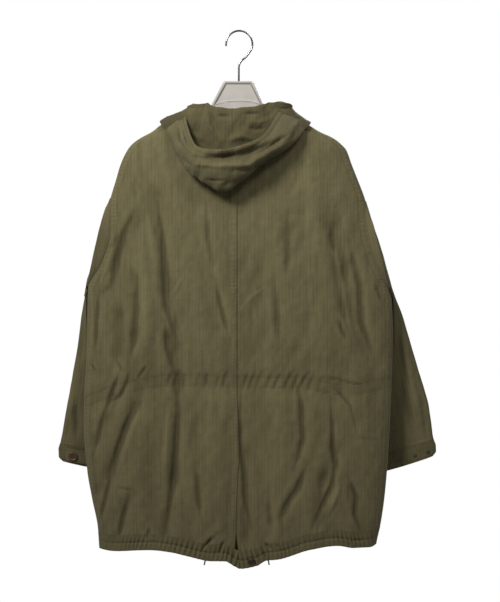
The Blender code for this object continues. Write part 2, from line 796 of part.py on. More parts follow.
def turned(name, profile, centre, axis, colour, roughness, metallic=0.0, segments=12):
    """A small turned piece, from its radii and heights, standing on a surface."""
    axis = np.asarray(axis, float) / np.linalg.norm(axis)
    side_way = np.cross(axis, (0.0, 0.0, 1.0))
    side_way = side_way / np.linalg.norm(side_way)
    up_way = np.cross(side_way, axis)
    points, faces, rings = [], [], []
    for radius, height in profile:
        base = np.asarray(centre, float) + axis * height
        if radius == 0.0:
            rings.append([len(points)])
            points.append(base)
            continue
        rings.append(list(range(len(points), len(points) + segments)))
        for i in range(segments):
            angle = 2 * math.pi * i / segments
            points.append(base + radius * (math.cos(angle) * side_way + math.sin(angle) * up_way))
    for low, high in zip(rings, rings[1:]):
        for i in range(segments):
            j = (i + 1) % segments
            if len(low) == 1:
                faces.append((low[0], high[j], high[i]))
            elif len(high) == 1:
                faces.append((low[i], low[j], high[0]))
            else:
                faces.append((low[i], low[j], high[j], high[i]))
    return mesh_object(name, points, faces, colour, roughness, metallic)


def seated(point, normal, lift):
    return np.asarray(point) + np.asarray(normal) * lift


def build_cuff_buttons():
    strap_top = STRAP_LIFT + STRAP_CLOTH + STRAP_BUTTON_LIFT
    point, normal = cuff_place(LEFT, 1.10, 0.5)
    turned("cuff_button_left", BUTTON_PROFILE, seated(point, normal, strap_top), normal, BUTTON_COLOUR, 0.4)
    for number, turn in enumerate((0.83, 1.36), start=1):
        point, normal = cuff_place(RIGHT, turn, 0.52)
        turned(f"cuff_tack_right_{number}", TACK_PROFILE, seated(point, normal, TACK_LIFT), normal, SNAP_COLOUR, 0.6)
        point, normal = cuff_place(RIGHT, 2 * math.pi - turn, 0.52)
        turned(f"cuff_button_right_{number}", BUTTON_PROFILE, seated(point, normal, BUTTON_LIFT), normal, BUTTON_COLOUR, 0.4)


def build_front_buttons():
    for number, level in enumerate(BUTTON_LEVELS, start=1):
        point, normal = panels[LEFT, FRONT].place(CENTRE_X, level)
        turned(f"front_button_{number}", BUTTON_PROFILE, seated(point, normal, BUTTON_LIFT), normal, BUTTON_COLOUR, 0.4)


def build_pocket_flap(side, word):
    """A plain flap over a hip pocket, lying on a front panel."""
    panel = panels[side, FRONT]
    row = int(np.argmin(np.abs(panel.z[:, 0] - FLAP_LEVELS[1])))
    inside = np.abs(panel.x[row] - CENTRE_X - side * FLAP_MIDDLE) < FLAP_WIDTH / 2
    ends = CENTRE_X + side * (FLAP_MIDDLE + FLAP_WIDTH / 2 * np.array((-1, 1)))
    across = np.sort(np.concatenate((ends, panel.x[row][inside])))
    outer, inner = panel.patch(across, FLAP_LEVELS, FLAP_LIFT, CLOTH)
    cloth_wall("pocket_flap_" + word, outer, inner, ring=False)


def spline(points, samples):
    """A smooth run of points through a few given ones."""
    points = np.asarray(points, float)
    lengths = np.concatenate(([0], np.cumsum(np.linalg.norm(np.diff(points, axis=0), axis=1) ** 0.5)))
    tangents = np.gradient(points, lengths, axis=0)
    places = np.linspace(0, lengths[-1], samples)
    i = np.clip(np.searchsorted(lengths, places) - 1, 0, len(points) - 2)
    step = (lengths[i + 1] - lengths[i])[:, None]
    t = ((places - lengths[i])[:, None]) / step
    start = (1 + 2 * t) * (1 - t) ** 2 * points[i] + t * (1 - t) ** 2 * step * tangents[i]
    end = t * t * (3 - 2 * t) * points[i + 1] + t * t * (t - 1) * step * tangents[i + 1]
    return start + end


def neckline(side):
    """Points and normals along the neck edge, from the back centre round to the front centre."""
    back, front = panels[side, BACK], panels[side, FRONT]
    centre, centre_normal = front.place(CENTRE_X + side * SEAM_GAP / 2, NECK_LEVEL)
    points = [*back.outer[0][:-1], (back.outer[0][-1] + front.outer[0][-1]) / 2, *front.outer[0][-2:0:-1], centre]
    normals = [*back.normal[0][:-1], back.normal[0][-1], *front.normal[0][-2:0:-1], centre_normal]
    points = np.array(points) + np.array((0, 0, SEAM_GAP))
    lengths = np.concatenate(([0], np.cumsum(np.linalg.norm(np.diff(points, axis=0), axis=1))))
    return points, np.array(normals), lengths / lengths[-1]


def hood_section(neck, share, curves):
    """One section of the hood: up from the neck seam, over its ridge, down, round and up to the rim."""
    ridge = np.array([curve(share) for curve in curves[0:3]])
    fold = np.array([curve(share) for curve in curves[3:6]])
    rim = np.array([curve(share) for curve in curves[6:9]])
    pouch = 1 - eased((share - 0.36) / 0.3)
    inner_middle = ridge * 0.45 + fold * 0.55 + np.array((0, POUCH_INNER_Y, 0)) * pouch
    outer_middle = fold * 0.5 + rim * 0.5 + np.array((0, POUCH_OUTER_Y, POUCH_OUTER_Z)) * pouch
    return spline((neck, ridge, inner_middle, fold, outer_middle, rim), HOOD_ROWS)


def build_hood(side, word):
    rows = np.asarray(HOOD_STATIONS[side], float)
    curves = [through(rows[:, 0], rows[:, i]) for i in range(1, rows.shape[1])]
    necks, neck_normals, shares = neckline(side)
    grid = np.array([hood_section(neck, share, curves) for neck, share in zip(necks, shares)])
    grid = grid.transpose(1, 0, 2)
    grid[1:] = pushed_out(grid[1:], HOOD_CLEARANCE)
    grid[:, 0, 0] = CENTRE_X + side * SEAM_GAP / 2
    normals = grid_normals(grid, ring=False)
    if normals[HOOD_ROWS * 3 // 4, 2, 1] > 0:
        normals = -normals
    flat = normals[:, 0] * np.array((0.0, 1.0, 1.0))
    normals[:, 0] = flat / np.linalg.norm(flat, axis=-1, keepdims=True)
    normals[0] = neck_normals
    cloth_wall("hood_" + word, grid, grid - CLOTH * normals, ring=False)


def roof_height(x, y):
    """Highest level under the cloth, at one place across the shoulder."""
    low, high = -420.0, -120.0
    for _ in range(40):
        middle = (low + high) / 2
        distance, _ = closeness(np.array((x, y, middle)))
        if distance < -(CLOTH + HANGER_CLEARANCE):
            low = middle
        else:
            high = middle
    return low


def build_hanger():
    """The moulded hanger, as sections across it from tip to tip, bored for the hook."""
    steps = 6
    rings = []
    for x, top, bottom, thick in HANGER_SECTIONS:
        ring = []
        for i in range(steps + 1):
            y = thick * math.cos(math.pi * i / steps)
            crown = HANGER_CROWN * (1 - math.sin(math.pi * i / steps))
            height = top - crown
            if abs(x - CENTRE_X) > ARM_START:
                height = min(height, roof_height(x, y))
            ring.append((x, y, height))
        for i in range(steps + 1):
            y = -thick * math.cos(math.pi * i / steps)
            ring.append((x, y, bottom + HANGER_CROWN * (1 - math.sin(math.pi * i / steps))))
        rings.append(ring)
    count = len(rings[0])
    points = [point for ring in rings for point in ring]
    faces = []
    for r in range(len(rings) - 1):
        for c in range(count):
            d = (c + 1) % count
            faces.append((r * count + c, r * count + d, (r + 1) * count + d, (r + 1) * count + c))
    faces.append(tuple(reversed(range(count))))
    faces.append(tuple(range(len(points) - count, len(points))))
    hanger = mesh_object("hanger_body", points, faces, PLASTIC_COLOUR, 0.35)
    mouth = (BLOCK_TOP[0], 0.0, BLOCK_TOP[1])
    bore = cylinder("hook_bore", HOOK_WIRE / 2 + SEAM_GAP, 2 * (HOOK_SEAT + SEAM_GAP), mouth)
    cut = hanger.modifiers.new("hook_bore", "BOOLEAN")
    cut.operation = "DIFFERENCE"
    cut.object = bore


def cylinder(name, radius, length, centre):
    """A hidden cutter."""
    segments = 16
    points, faces = [], []
    for end in (-0.5, 0.5):
        for i in range(segments):
            angle = 2 * math.pi * i / segments
            offset = (radius * math.cos(angle), radius * math.sin(angle), end * length)
            points.append(tuple(c + o for c, o in zip(centre, offset)))
    faces.append(tuple(reversed(range(segments))))
    faces.append(tuple(range(segments, 2 * segments)))
    for i in range(segments):
        j = (i + 1) % segments
        faces.append((i, j, segments + j, segments + i))
    cutter = mesh_object(name, points, faces, STEEL_COLOUR)
    cutter.hide_render = True
    cutter.display_type = "WIRE"
    return cutter


def tube(name, route, diameter, colour, roughness, metallic):
    curve = bpy.data.curves.new(name, "CURVE")
    curve.dimensions = "3D"
    curve.bevel_depth = diameter / 2 * MM
    curve.bevel_resolution = 2
    curve.use_fill_caps = True
    line = curve.splines.new("POLY")
    line.points.add(len(route) - 1)
    for point, place in zip(line.points, route):
        point.co = (*(np.asarray(place) * MM), 1.0)
    piece = bpy.data.objects.new(name, curve)
    bpy.context.scene.collection.objects.link(piece)
    give_material(piece, colour, roughness, metallic)
    return piece


def build_hook():
    """The swivel hook's wire: a half turn over the rail, then in to the shank."""
    centre_z = HOOK_WIRE / 2 - HOOK_RADIUS
    tip_x, tip_z = HOOK_TIP
    route = [(tip_x - HOOK_RADIUS, 0.0, centre_z + tip_z)]
    for i in range(19):
        angle = math.pi - HOOK_SWEEP * i / 18
        route.append((HOOK_RADIUS * math.cos(angle), 0.0, centre_z + HOOK_RADIUS * math.sin(angle)))
    bend = spline((route[-1], *((x, 0.0, z) for x, z in SHANK)), 12)[1:]
    route.extend(tuple(point) for point in bend)
    route.append((BLOCK_TOP[0], 0.0, BLOCK_TOP[1] - HOOK_SEAT))
    tube("hanger_hook", route, HOOK_WIRE, STEEL_COLOUR, 0.25, 1.0)


def build_hem_trim(edge, out):
    """The snap on the tail, and the two ends of the drawcord, which hang inside the hem and just below it."""

    def nearest(x):
        return int(np.argmin(np.abs(edge[:, 0] - x)))

    at = nearest(SNAP_ACROSS)
    normal = out[at]
    lifted = seated(edge[at] + np.array((0, 0, 3.0)), normal, SNAP_LIFT)
    turned("hem_snap", SNAP_PROFILE, lifted, normal, SNAP_COLOUR, 0.4, 0.6)
    for number, (x, lean, inset) in enumerate(CORD_TIPS, start=1):
        at = nearest(x)
        foot = float(back_hem(edge[at, 0]))
        end = np.array((edge[at, 0], edge[at, 1] + inset, foot - CORD_DROP))
        rises = np.linspace(0, CORD_LENGTH, CORD_POINTS)
        route = [end + np.array((-lean * CORD_LEAN * rise, 0, rise)) for rise in rises]
        tube(f"hem_cord_tip_{number}", route, CORD_DIAMETER, SNAP_COLOUR, 0.7, 0.0)


clear_scene()
for side, word in ((LEFT, "left"), (RIGHT, "right")):
    build_panel("back_" + word, side, BACK)
    build_panel("front_" + word, side, FRONT)
    build_sleeve(side, word)
    build_cuff(side, word)
    build_hood(side, word)
    build_pocket_flap(side, word)
build_hem_trim(*build_hem_casing())
build_cuff_strap()
build_cuff_buttons()
build_front_buttons()
build_hanger()
build_hook()
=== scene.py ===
"""Looks of a hooded field coat on its hanger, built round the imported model.

The back of the coat faces -Y, +X is to the right of that view and +Z is up.
The origin is the inner crest of the hanger's hook.
"""

import math

import bpy
import numpy as np
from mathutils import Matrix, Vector


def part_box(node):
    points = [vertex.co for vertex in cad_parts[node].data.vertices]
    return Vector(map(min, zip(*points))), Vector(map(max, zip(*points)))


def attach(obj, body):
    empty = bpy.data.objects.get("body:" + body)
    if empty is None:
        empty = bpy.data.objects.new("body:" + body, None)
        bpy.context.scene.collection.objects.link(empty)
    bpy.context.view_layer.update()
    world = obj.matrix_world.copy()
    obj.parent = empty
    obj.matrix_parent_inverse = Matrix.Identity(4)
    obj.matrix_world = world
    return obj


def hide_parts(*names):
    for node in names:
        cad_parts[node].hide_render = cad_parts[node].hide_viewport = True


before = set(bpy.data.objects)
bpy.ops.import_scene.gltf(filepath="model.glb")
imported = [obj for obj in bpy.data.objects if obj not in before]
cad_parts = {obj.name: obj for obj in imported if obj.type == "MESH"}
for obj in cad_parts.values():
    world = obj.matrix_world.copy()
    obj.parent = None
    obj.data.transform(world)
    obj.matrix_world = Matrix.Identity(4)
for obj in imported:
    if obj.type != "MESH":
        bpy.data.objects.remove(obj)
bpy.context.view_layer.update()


# ---- The view, the light and the floor ----
# The camera stands three metres behind the coat, level with its middle.
# Two soft lights hang above its back and a larger one above its front, in a white room with a pale floor.

CAMERA_PLACE = (0.0219, -3.0, -0.5519)
SENSOR_WIDTH = 36.0
VIEW_HEIGHT = 1.2341
FLOOR_LEVEL = -1.76
FLOOR_RADIUS = 2.5
FLOOR_CORNERS = 64
WARM_WHITE = (1.0, 0.985, 0.96)
ROOM_STRENGTH = 0.17
SOFT_LIGHTS = (
    # name, x, y, z, aimed at x, y, z, width, height, power, spread in degrees
    ("light_above_left", -1.4, -1.7, 1.15, 0.08, 0.0, 0.0, 0.7, 0.7, 14.8, 80.0),
    ("light_above_right", 0.9, -1.5, 1.15, 0.0, 0.0, 0.05, 0.5, 0.5, 3.0, 80.0),
    ("light_on_front", 0.9, 2.4, 1.2, 0.0, 0.0, -0.5, 1.4, 1.4, 60.0, 180.0),
)


def placed(name, data):
    """A new object, set in the scene."""
    made = bpy.data.objects.new(name, data)
    bpy.context.scene.collection.objects.link(made)
    return made


def add_node(tree, kind, settings=None, sockets=None):
    """A node of a tree: its settings come first, then the values or links of its sockets."""
    made = tree.nodes.new(kind)
    for key, value in (settings or {}).items():
        setattr(made, key, value)
    for key, value in (sockets or {}).items():
        if isinstance(value, Amount):
            value = value.socket
        if isinstance(value, bpy.types.NodeSocket):
            tree.links.new(value, made.inputs[key])
        else:
            made.inputs[key].default_value = value
    return made


class Amount:
    """A number that changes over a surface. Arithmetic on it adds Math nodes."""

    def __init__(self, tree, socket):
        self.tree, self.socket = tree, socket

    def maths(self, operation, *others):
        values = dict(enumerate((self, *others)))
        made = add_node(self.tree, "ShaderNodeMath", {"operation": operation}, values)
        return Amount(self.tree, made.outputs[0])

    def __add__(self, other):
        return self.maths("ADD", other)

    __radd__ = __add__

    def __sub__(self, other):
        return self.maths("SUBTRACT", other)

    def __mul__(self, other):
        return self.maths("MULTIPLY", other)


camera_data = bpy.data.cameras.new("back_view")
camera_data.sensor_width = SENSOR_WIDTH
camera_data.lens = SENSOR_WIDTH * -CAMERA_PLACE[1] / VIEW_HEIGHT
camera = placed("back_view", camera_data)
camera.location = CAMERA_PLACE
camera.rotation_euler = (math.pi / 2, 0.0, 0.0)
bpy.context.scene.camera = camera
bpy.context.scene.view_settings.view_transform = "Standard"

room = bpy.data.worlds.new("white_room")
bpy.context.scene.world = room
room.use_nodes = True
room_tree = room.node_tree
room_tree.nodes.clear()
room_white = {"Color": (1.0, 1.0, 1.0, 1.0), "Strength": 1.0}
room_seen = add_node(room_tree, "ShaderNodeBackground", None, room_white)
room_light = {"Color": (*WARM_WHITE, 1.0), "Strength": ROOM_STRENGTH}
room_lit = add_node(room_tree, "ShaderNodeBackground", None, room_light)
room_path = add_node(room_tree, "ShaderNodeLightPath")
room_sides = {0: room_path.outputs["Is Camera Ray"], 1: room_lit.outputs[0], 2: room_seen.outputs[0]}
room_split = add_node(room_tree, "ShaderNodeMixShader", None, room_sides)
add_node(room_tree, "ShaderNodeOutputWorld", None, {"Surface": room_split.outputs[0]})

for name, x, y, z, to_x, to_y, to_z, width, height, power, spread in SOFT_LIGHTS:
    light = bpy.data.lights.new(name, "AREA")
    light.shape = "RECTANGLE"
    light.size = width
    light.size_y = height
    light.energy = power
    light.spread = math.radians(spread)
    light.color = WARM_WHITE
    holder = placed(name, light)
    holder.location = (x, y, z)
    aim = Vector((to_x, to_y, to_z)) - Vector((x, y, z))
    holder.rotation_euler = aim.to_track_quat("-Z", "Y").to_euler()


def new_finish(name, **constants):
    """A material with one Principled shader, and its tree. The constants are the shader's own values."""
    finish = bpy.data.materials.new(name)
    finish.use_nodes = True
    tree = finish.node_tree
    shader = tree.nodes["Principled BSDF"]
    for key, value in constants.items():
        shader.inputs[key.replace("_", " ")].default_value = value
    return finish, tree, shader


def object_place(tree):
    return add_node(tree, "ShaderNodeTexCoord").outputs["Object"]


def noise(tree, vector, scale, detail=2.0, roughness=0.5, distortion=0.0):
    sockets = {"Vector": vector, "Scale": scale, "Detail": detail, "Roughness": roughness}
    sockets["Distortion"] = distortion
    return Amount(tree, add_node(tree, "ShaderNodeTexNoise", None, sockets).outputs["Fac"])


def between(tree, share, low, high):
    """A colour between two others."""
    sockets = {0: share, 6: (*low, 1.0), 7: (*high, 1.0)}
    return add_node(tree, "ShaderNodeMix", {"data_type": "RGBA"}, sockets).outputs[2]


def raised(tree, height, distance, strength=1.0, normal=None):
    sockets = {"Height": height, "Distance": distance, "Strength": strength}
    if normal is not None:
        sockets["Normal"] = normal
    return add_node(tree, "ShaderNodeBump", None, sockets).outputs["Normal"]


def mottled_finish(name, grain, dark, light, rough=(), relief=(), **constants):
    """A finish that varies after one noise, which is given by its scale, detail, roughness and distortion.

    The noise moves the colour from dark to light. rough is how far it moves the roughness, and from where,
    and relief is the depth and the strength of the bumps that it raises.
    """
    finish, tree, shader = new_finish(name, **constants)
    tone = noise(tree, object_place(tree), *grain)
    tree.links.new(between(tree, tone, dark, light), shader.inputs["Base Color"])
    if rough:
        tree.links.new((tone * rough[0] + rough[1]).socket, shader.inputs["Roughness"])
    if relief:
        tree.links.new(raised(tree, tone, *relief), shader.inputs["Normal"])
    return finish


floor_mesh = bpy.data.meshes.new("floor")
floor_turns = [i * 2 * math.pi / FLOOR_CORNERS for i in range(FLOOR_CORNERS)]
floor_ring = [(FLOOR_RADIUS * math.cos(t), FLOOR_RADIUS * math.sin(t), FLOOR_LEVEL) for t in floor_turns]
floor_mesh.from_pydata(floor_ring, [], [tuple(range(FLOOR_CORNERS))])
floor_tones = ((0.80, 0.79, 0.77), (0.84, 0.83, 0.81))
floor_paint = mottled_finish("pale_floor_paint", (3.0,), *floor_tones, Roughness=0.8)
floor_mesh.materials.append(floor_paint)
floor = placed("floor", floor_mesh)


# ---- The back ----
# Two panels of striped herringbone cotton, felled together at the centre over a short vent at the tail.
# A drawcord tunnel is sewn across the inside at the waist, so only its two stitch rows and its gathers show.

LEFT, RIGHT = -1, 1
BACK, FRONT = -1, 1
CLOTH = 1.8
SEAM_GAP = 0.3
CENTRE_X = -4.0
ROUNDNESS = 2.8
NECK_LEVEL = -162.0
NECK_FADE = 180.0
NECK_DROP = {BACK: 15.0, FRONT: 73.0}
SKIRT_LEVEL = -850.0
HEM_LEVEL = -1064.0
CASING_TOP = -1030.0
ARMHOLE_HALF = 20.0
ARMHOLE_TOP = {LEFT: -341.0, RIGHT: -347.0}
ARMHOLE_FOOT = {LEFT: -525.0, RIGHT: -531.0}
TUNNEL_HEIGHT = 20.0
STITCH_PITCH = 3.2
STITCH_LENGTH = 2.2
THREAD_THICKNESS = 0.55
SHOULDER_ROWS, ARMHOLE_ROWS, BODY_ROWS = 52, 57, 151
BACK_COLUMNS = 113
SEAM_SHARE = 0.06
SEAM_COLUMNS = (0, 0.7, 1.4, 2.2, 3.2, 4.4, 5.8, 7.2, 8.6, 10.2, 12, 13.6, 15.2)
PANEL_WIDTH = 300
WAIST_SINK, WAIST_SPREAD = 2.4, 22.0
HEM_GATHER_PITCH = 9.5
SEAM_PUCKER_PITCH, SIDE_PUCKER_PITCH = 8.2, 8.8
SEAM_STITCH_INSETS = (5.0, 12.5)
SIDE_STITCH_INSETS = (4.0, 11.0)
WAIST_SIDE_LEVEL = -730.0

TORSO_SECTIONS = (
    # height, left edge, right edge, back depth, front depth
    (-162, -101, 102, 30, 34),
    (-177, -130, 122, 30, 33),
    (-193, -163, 145, 30, 32),
    (-205, -178, 164, 30, 31),
    (-218, -202, 192, 30, 30),
    (-230, -219, 208, 30, 30),
    (-242, -229, 219, 31, 30),
    (-271, -243, 230, 32, 30),
    (-304, -253, 243, 34, 31),
    (-341, -264, 257, 36, 32),
    (-371, -271, 265, 37, 33),
    (-427, -284, 282, 39, 33),
    (-480, -296, 294, 40, 34),
    (-525, -310, 305, 41, 34),
    (-550, -311, 312, 41, 34),
    (-620, -312, 315, 41, 34),
    (-700, -315, 313, 38, 32),
    (-730, -317, 312, 39, 33),
    (-796, -319, 309, 43, 36),
    (-898, -312, 303, 46, 38),
    (-960, -302, 298, 47, 39),
    (-1023, -290, 290, 46, 39),
    (-1064, -287, 281, 44, 38),
    (-1100, -285, 276, 43, 37),
)
CENTRE_SEAM = (
    # height, place of the seam, half opening of the vent
    (-150, -4, 0),
    (-712, -4, 0),
    (-866, 1, 0),
    (-900, -2, 0),
    (-995, -6, 0),
    (-1012, -6, 1.5),
    (-1030, -5, 4.0),
    (-1064, 4, 4.0),
)
HEM_LINE = (
    # across, height of the back hem
    (-290, -1056),
    (-257, -1060),
    (-182, -1056),
    (-140, -1060),
    (-99, -1069),
    (-55, -1078),
    (-29, -1078),
    (-10, -1088),
    (2, -1093),
    (36, -1087),
    (54, -1077),
    (80, -1074),
    (145, -1055),
    (200, -1048),
    (234, -1053),
    (265, -1053),
    (285, -1046),
)
FRONT_HEM_LINE = (
    # across, height of the front hem
    (-290, -1056),
    (-200, -1047),
    (0, -1040),
    (200, -1041),
    (285, -1046),
)
WAIST_LINE = (
    # across, height of the drawn waist
    (-310, -745),
    (-247, -722),
    (-140, -704),
    (0, -706),
    (117, -708),
    (220, -722),
    (310, -706),
)
BACK_FOLDS = (
    # from across, from height, to across, to height, width, relief
    (-217, -398, -259, -511, 20, -5.0),
    (-170, -347, -152, -511, 20, -4.0),
    (-152, -511, -130, -637, 18, -4.0),
    (-190, -420, -196, -640, 26, 4.0),
    (-213, -511, -213, -619, 14, -4.0),
    (-245, -582, -249, -655, 13, -4.0),
    (-136, -631, -126, -716, 12, -4.0),
    (-126, -716, -133, -914, 13, -4.5),
    (-133, -914, -152, -1028, 13, -4.5),
    (-257, -756, -290, -829, 14, -4.0),
    (-219, -770, -257, -886, 17, -6.0),
    (-257, -886, -278, -928, 14, -4.0),
    (-195, -800, -235, -940, 20, 4.0),
    (-227, -953, -257, -1050, 14, -4.0),
    (-70, -380, -80, -680, 34, 3.0),
    (80, -340, 70, -660, 36, 3.0),
    (150, -330, 170, -640, 30, 3.5),
    (188, -402, 210, -493, 20, -5.0),
    (210, -493, 220, -564, 18, -5.0),
    (220, -564, 249, -637, 18, -4.0),
    (194, -857, 172, -914, 15, -4.5),
    (172, -914, 160, -997, 15, -4.5),
    (230, -942, 249, -1028, 15, -4.0),
    (-60, -760, -70, -1000, 30, 4.0),
    (90, -760, 84, -1000, 34, 4.0),
    (14, -860, 12, -1000, 10, -3.5),
)
BACK_CREASES = (
    # width, relief, then points across and their heights
    (9, -6.0, (-216, -372), (-232, -404), (-246, -457), (-262, -520), (-280, -535)),
    (5, -4.5, (-286, -528), (-291, -600), (-294, -668)),
    (5, 3.0, (-250, -430), (-268, -480), (-286, -518)),
    (6, -4.5, (-166, -350), (-156, -420), (-150, -500), (-149, -560), (-138, -600), (-123, -640)),
    (8, 3.0, (-184, -380), (-170, -470), (-168, -560)),
    (6, -4.0, (-150, -590), (-146, -650), (-132, -700)),
    (7, -4.0, (-207, -500), (-208, -570), (-214, -640), (-224, -680)),
    (7, 2.5, (-190, -540), (-188, -600), (-186, -660)),
    (6, -2.4, (-66, -352), (-63, -420), (-56, -480)),
    (4.5, -3.6, (-48, -510), (-38, -560), (-20, -630)),
    (3, 1.6, (-112, -498), (-124, -520), (-134, -540)),
    (1.8, 1.2, (0, -572), (20, -548), (60, -516)),
    (5, -3.0, (186, -400), (190, -430), (196, -462)),
    (7, 3.2, (188, -415), (202, -480), (214, -536), (222, -590), (234, -634)),
    (9, -5.5, (224, -430), (232, -470), (244, -520), (250, -600), (270, -660)),
    (8, -3.2, (72, -500), (76, -580), (80, -650)),
    (8, -2.4, (102, -350), (98, -430), (94, -510)),
    (4, -2.4, (200, -585), (208, -610), (218, -634)),
    (4, -2.6, (276, -512), (284, -535), (290, -558)),
    (6, -4.8, (118, -716), (127, -770), (129, -830), (120, -868), (110, -892)),
    (8, -4.8, (138, -880), (118, -930), (94, -966), (84, -990), (87, -1022)),
    (5.5, -5.2, (186, -745), (189, -800), (190, -850), (196, -884), (188, -926), (168, -968), (148, -1008)),
    (5, 3.2, (206, -920), (192, -955), (178, -985)),
    (4.5, -3.2, (222, -908), (238, -950), (234, -985), (248, -1024)),
    (2.5, -2.2, (228, -1036), (258, -1040)),
    (2.6, -1.8, (181, -716), (208, -744), (226, -765), (234, -800), (240, -832)),
    (2.2, -1.2, (236, -830), (292, -834)),
    (2, -1.8, (149, -706), (193, -710), (240, -721), (268, -724)),
    (5, -4.0, (5, -716), (2, -780), (4, -850), (10, -900), (12, -960), (26, -1016)),
    (6, -2.4, (60, -944), (62, -980), (65, -1024)),
    (6, -5.0, (-212, -758), (-232, -810), (-252, -866), (-268, -912)),
    (6, 3.2, (-200, -765), (-226, -840), (-250, -905)),
    (5, -3.6, (-272, -762), (-284, -812), (-296, -866)),
    (5.5, -5.0, (-127, -712), (-123, -770), (-128, -850), (-134, -920), (-142, -970), (-152, -1030)),
    (6, 2.8, (-142, -770), (-146, -840), (-150, -910)),
    (5.5, -3.6, (-88, -880), (-84, -930), (-76, -1002)),
    (5, -4.0, (-262, -906), (-272, -950), (-284, -1000)),
    (5, -4.0, (-224, -946), (-236, -990), (-248, -1044)),
    (3.5, -2.8, (-181, -1006), (-188, -1042)),
    (2.5, -1.6, (-247, -930), (-213, -935)),
    (3.5, -3.2, (-222, -686), (-228, -716), (-241, -744), (-267, -760)),
    (5, -4.0, (-243, -696), (-258, -735), (-272, -776)),
    (2.5, -2.0, (-303, -677), (-291, -697)),
    (3, -2.0, (-248, -672), (-236, -698)),
    (3, -2.6, (-186, -680), (-208, -712)),
    (3, -3.4, (-43, -1022), (-64, -1040), (-82, -1063)),
    (3, -3.4, (-28, -1032), (-46, -1069)),
    (2.5, -2.2, (-54, -1024), (-70, -1053)),
    (2.2, -3.0, (-19, -1042), (-27, -1077)),
    (2.2, -2.6, (-11, -1045), (-16, -1081)),
    (3, -3.2, (49, -1038), (69, -1057)),
    (3, -3.2, (47, -1057), (65, -1081)),
    (2.6, -2.6, (75, -1041), (88, -1061)),
)
WAIST_GATHERS = (
    # place across, slant of the crease, relief
    (-143, 8, -1.6),
    (-128, 7, -2.0),
    (-112, 4, -1.2),
    (-84, 5, -1.5),
    (-66, 3, -1.8),
    (-44, 6, -1.4),
    (-31, 7, -2.0),
    (12, 8, -1.5),
    (24, 10, -1.9),
    (38, 9, -1.3),
    (59, 10, -2.0),
    (76, 12, -2.2),
    (97, 12, -2.4),
    (113, 10, -2.0),
    (128, 14, -2.4),
    (144, 9, -1.6),
    (163, 7, -1.2),
)


def cubic(t, step, low, high, low_slope, high_slope):
    """A smooth way from one value to the next over a step, with the slopes at both."""
    start = (1 + 2 * t) * (1 - t) ** 2 * low + t * (1 - t) ** 2 * step * low_slope
    end = t * t * (3 - 2 * t) * high + t * t * (t - 1) * step * high_slope
    return start + end


def through(knots, values):
    """A smooth curve through values at knots, with no overshoot between them."""
    x = np.asarray(knots, float)
    y = np.asarray(values, float)
    if x[0] > x[-1]:
        x, y = x[::-1], y[::-1]
    step = np.diff(x)
    slope = np.diff(y) / step
    tangent = np.zeros_like(y)
    before, after = slope[:-1], slope[1:]
    agree = before * after > 0
    tangent[1:-1][agree] = 2 * before[agree] * after[agree] / (before[agree] + after[agree])
    tangent[0], tangent[-1] = slope[0], slope[-1]

    def at(place):
        place = np.clip(np.asarray(place, float), x[0], x[-1])
        i = np.clip(np.searchsorted(x, place) - 1, 0, len(step) - 1)
        t = (place - x[i]) / step[i]
        return cubic(t, step[i], y[i], y[i + 1], tangent[i], tangent[i + 1])

    return at


def columns_of(table):
    """One smooth curve for each column of a table, over its first column."""
    rows = np.asarray(table, float)
    return [through(rows[:, 0], rows[:, i]) for i in range(1, rows.shape[1])]


def swell(off, width):
    """1 in the middle of a fold, seam or edge, fading over a width to each side."""
    return np.exp(-((off / width) ** 2))


def unit(vectors):
    return vectors / np.linalg.norm(vectors, axis=-1, keepdims=True)


def bunched(share):
    """Shares that lie closer together towards 1, and towards -1."""
    return 0.55 * share + 0.45 * np.sin(np.pi / 2 * share)


def eased(value):
    value = np.clip(value, 0.0, 1.0)
    return value * value * (3 - 2 * value)


left_edge, right_edge, back_depth, front_depth = columns_of(TORSO_SECTIONS)
centre_seam, vent_half = columns_of(CENTRE_SEAM)
(back_hem,) = columns_of(HEM_LINE)
(front_hem,) = columns_of(FRONT_HEM_LINE)
(waist_height,) = columns_of(WAIST_LINE)


def half_width(side, z):
    return CENTRE_X - left_edge(z) if side == LEFT else right_edge(z) - CENTRE_X


def depth(face, z):
    return back_depth(z) if face == BACK else front_depth(z)


def share_across(side, x, z):
    return np.clip(np.abs(x - CENTRE_X) / half_width(side, z), 0.0, 1.0)


def hollow(share):
    """The other ratio of a section, from the share of its width or depth already used."""
    return np.maximum(0.0, 1 - np.abs(share) ** ROUNDNESS) ** (1 / ROUNDNESS)


def relief_of(folds, x, z):
    """Height of soft ridges and troughs, each along a line in the view of the back or front."""
    total = np.zeros(np.broadcast(x, z).shape)
    for from_x, from_z, to_x, to_z, width, relief in folds:
        run = np.array((to_x - from_x, to_z - from_z), float)
        along = ((x - from_x) * run[0] + (z - from_z) * run[1]) / (run @ run)
        past = np.maximum(0.0, np.maximum(-along, along - 1)) * np.hypot(*run)
        off = ((x - from_x) * run[1] - (z - from_z) * run[0]) / np.hypot(*run)
        total = total + relief * np.exp(-((off / width) ** 2) - (past / (1.6 * width)) ** 2)
    return total


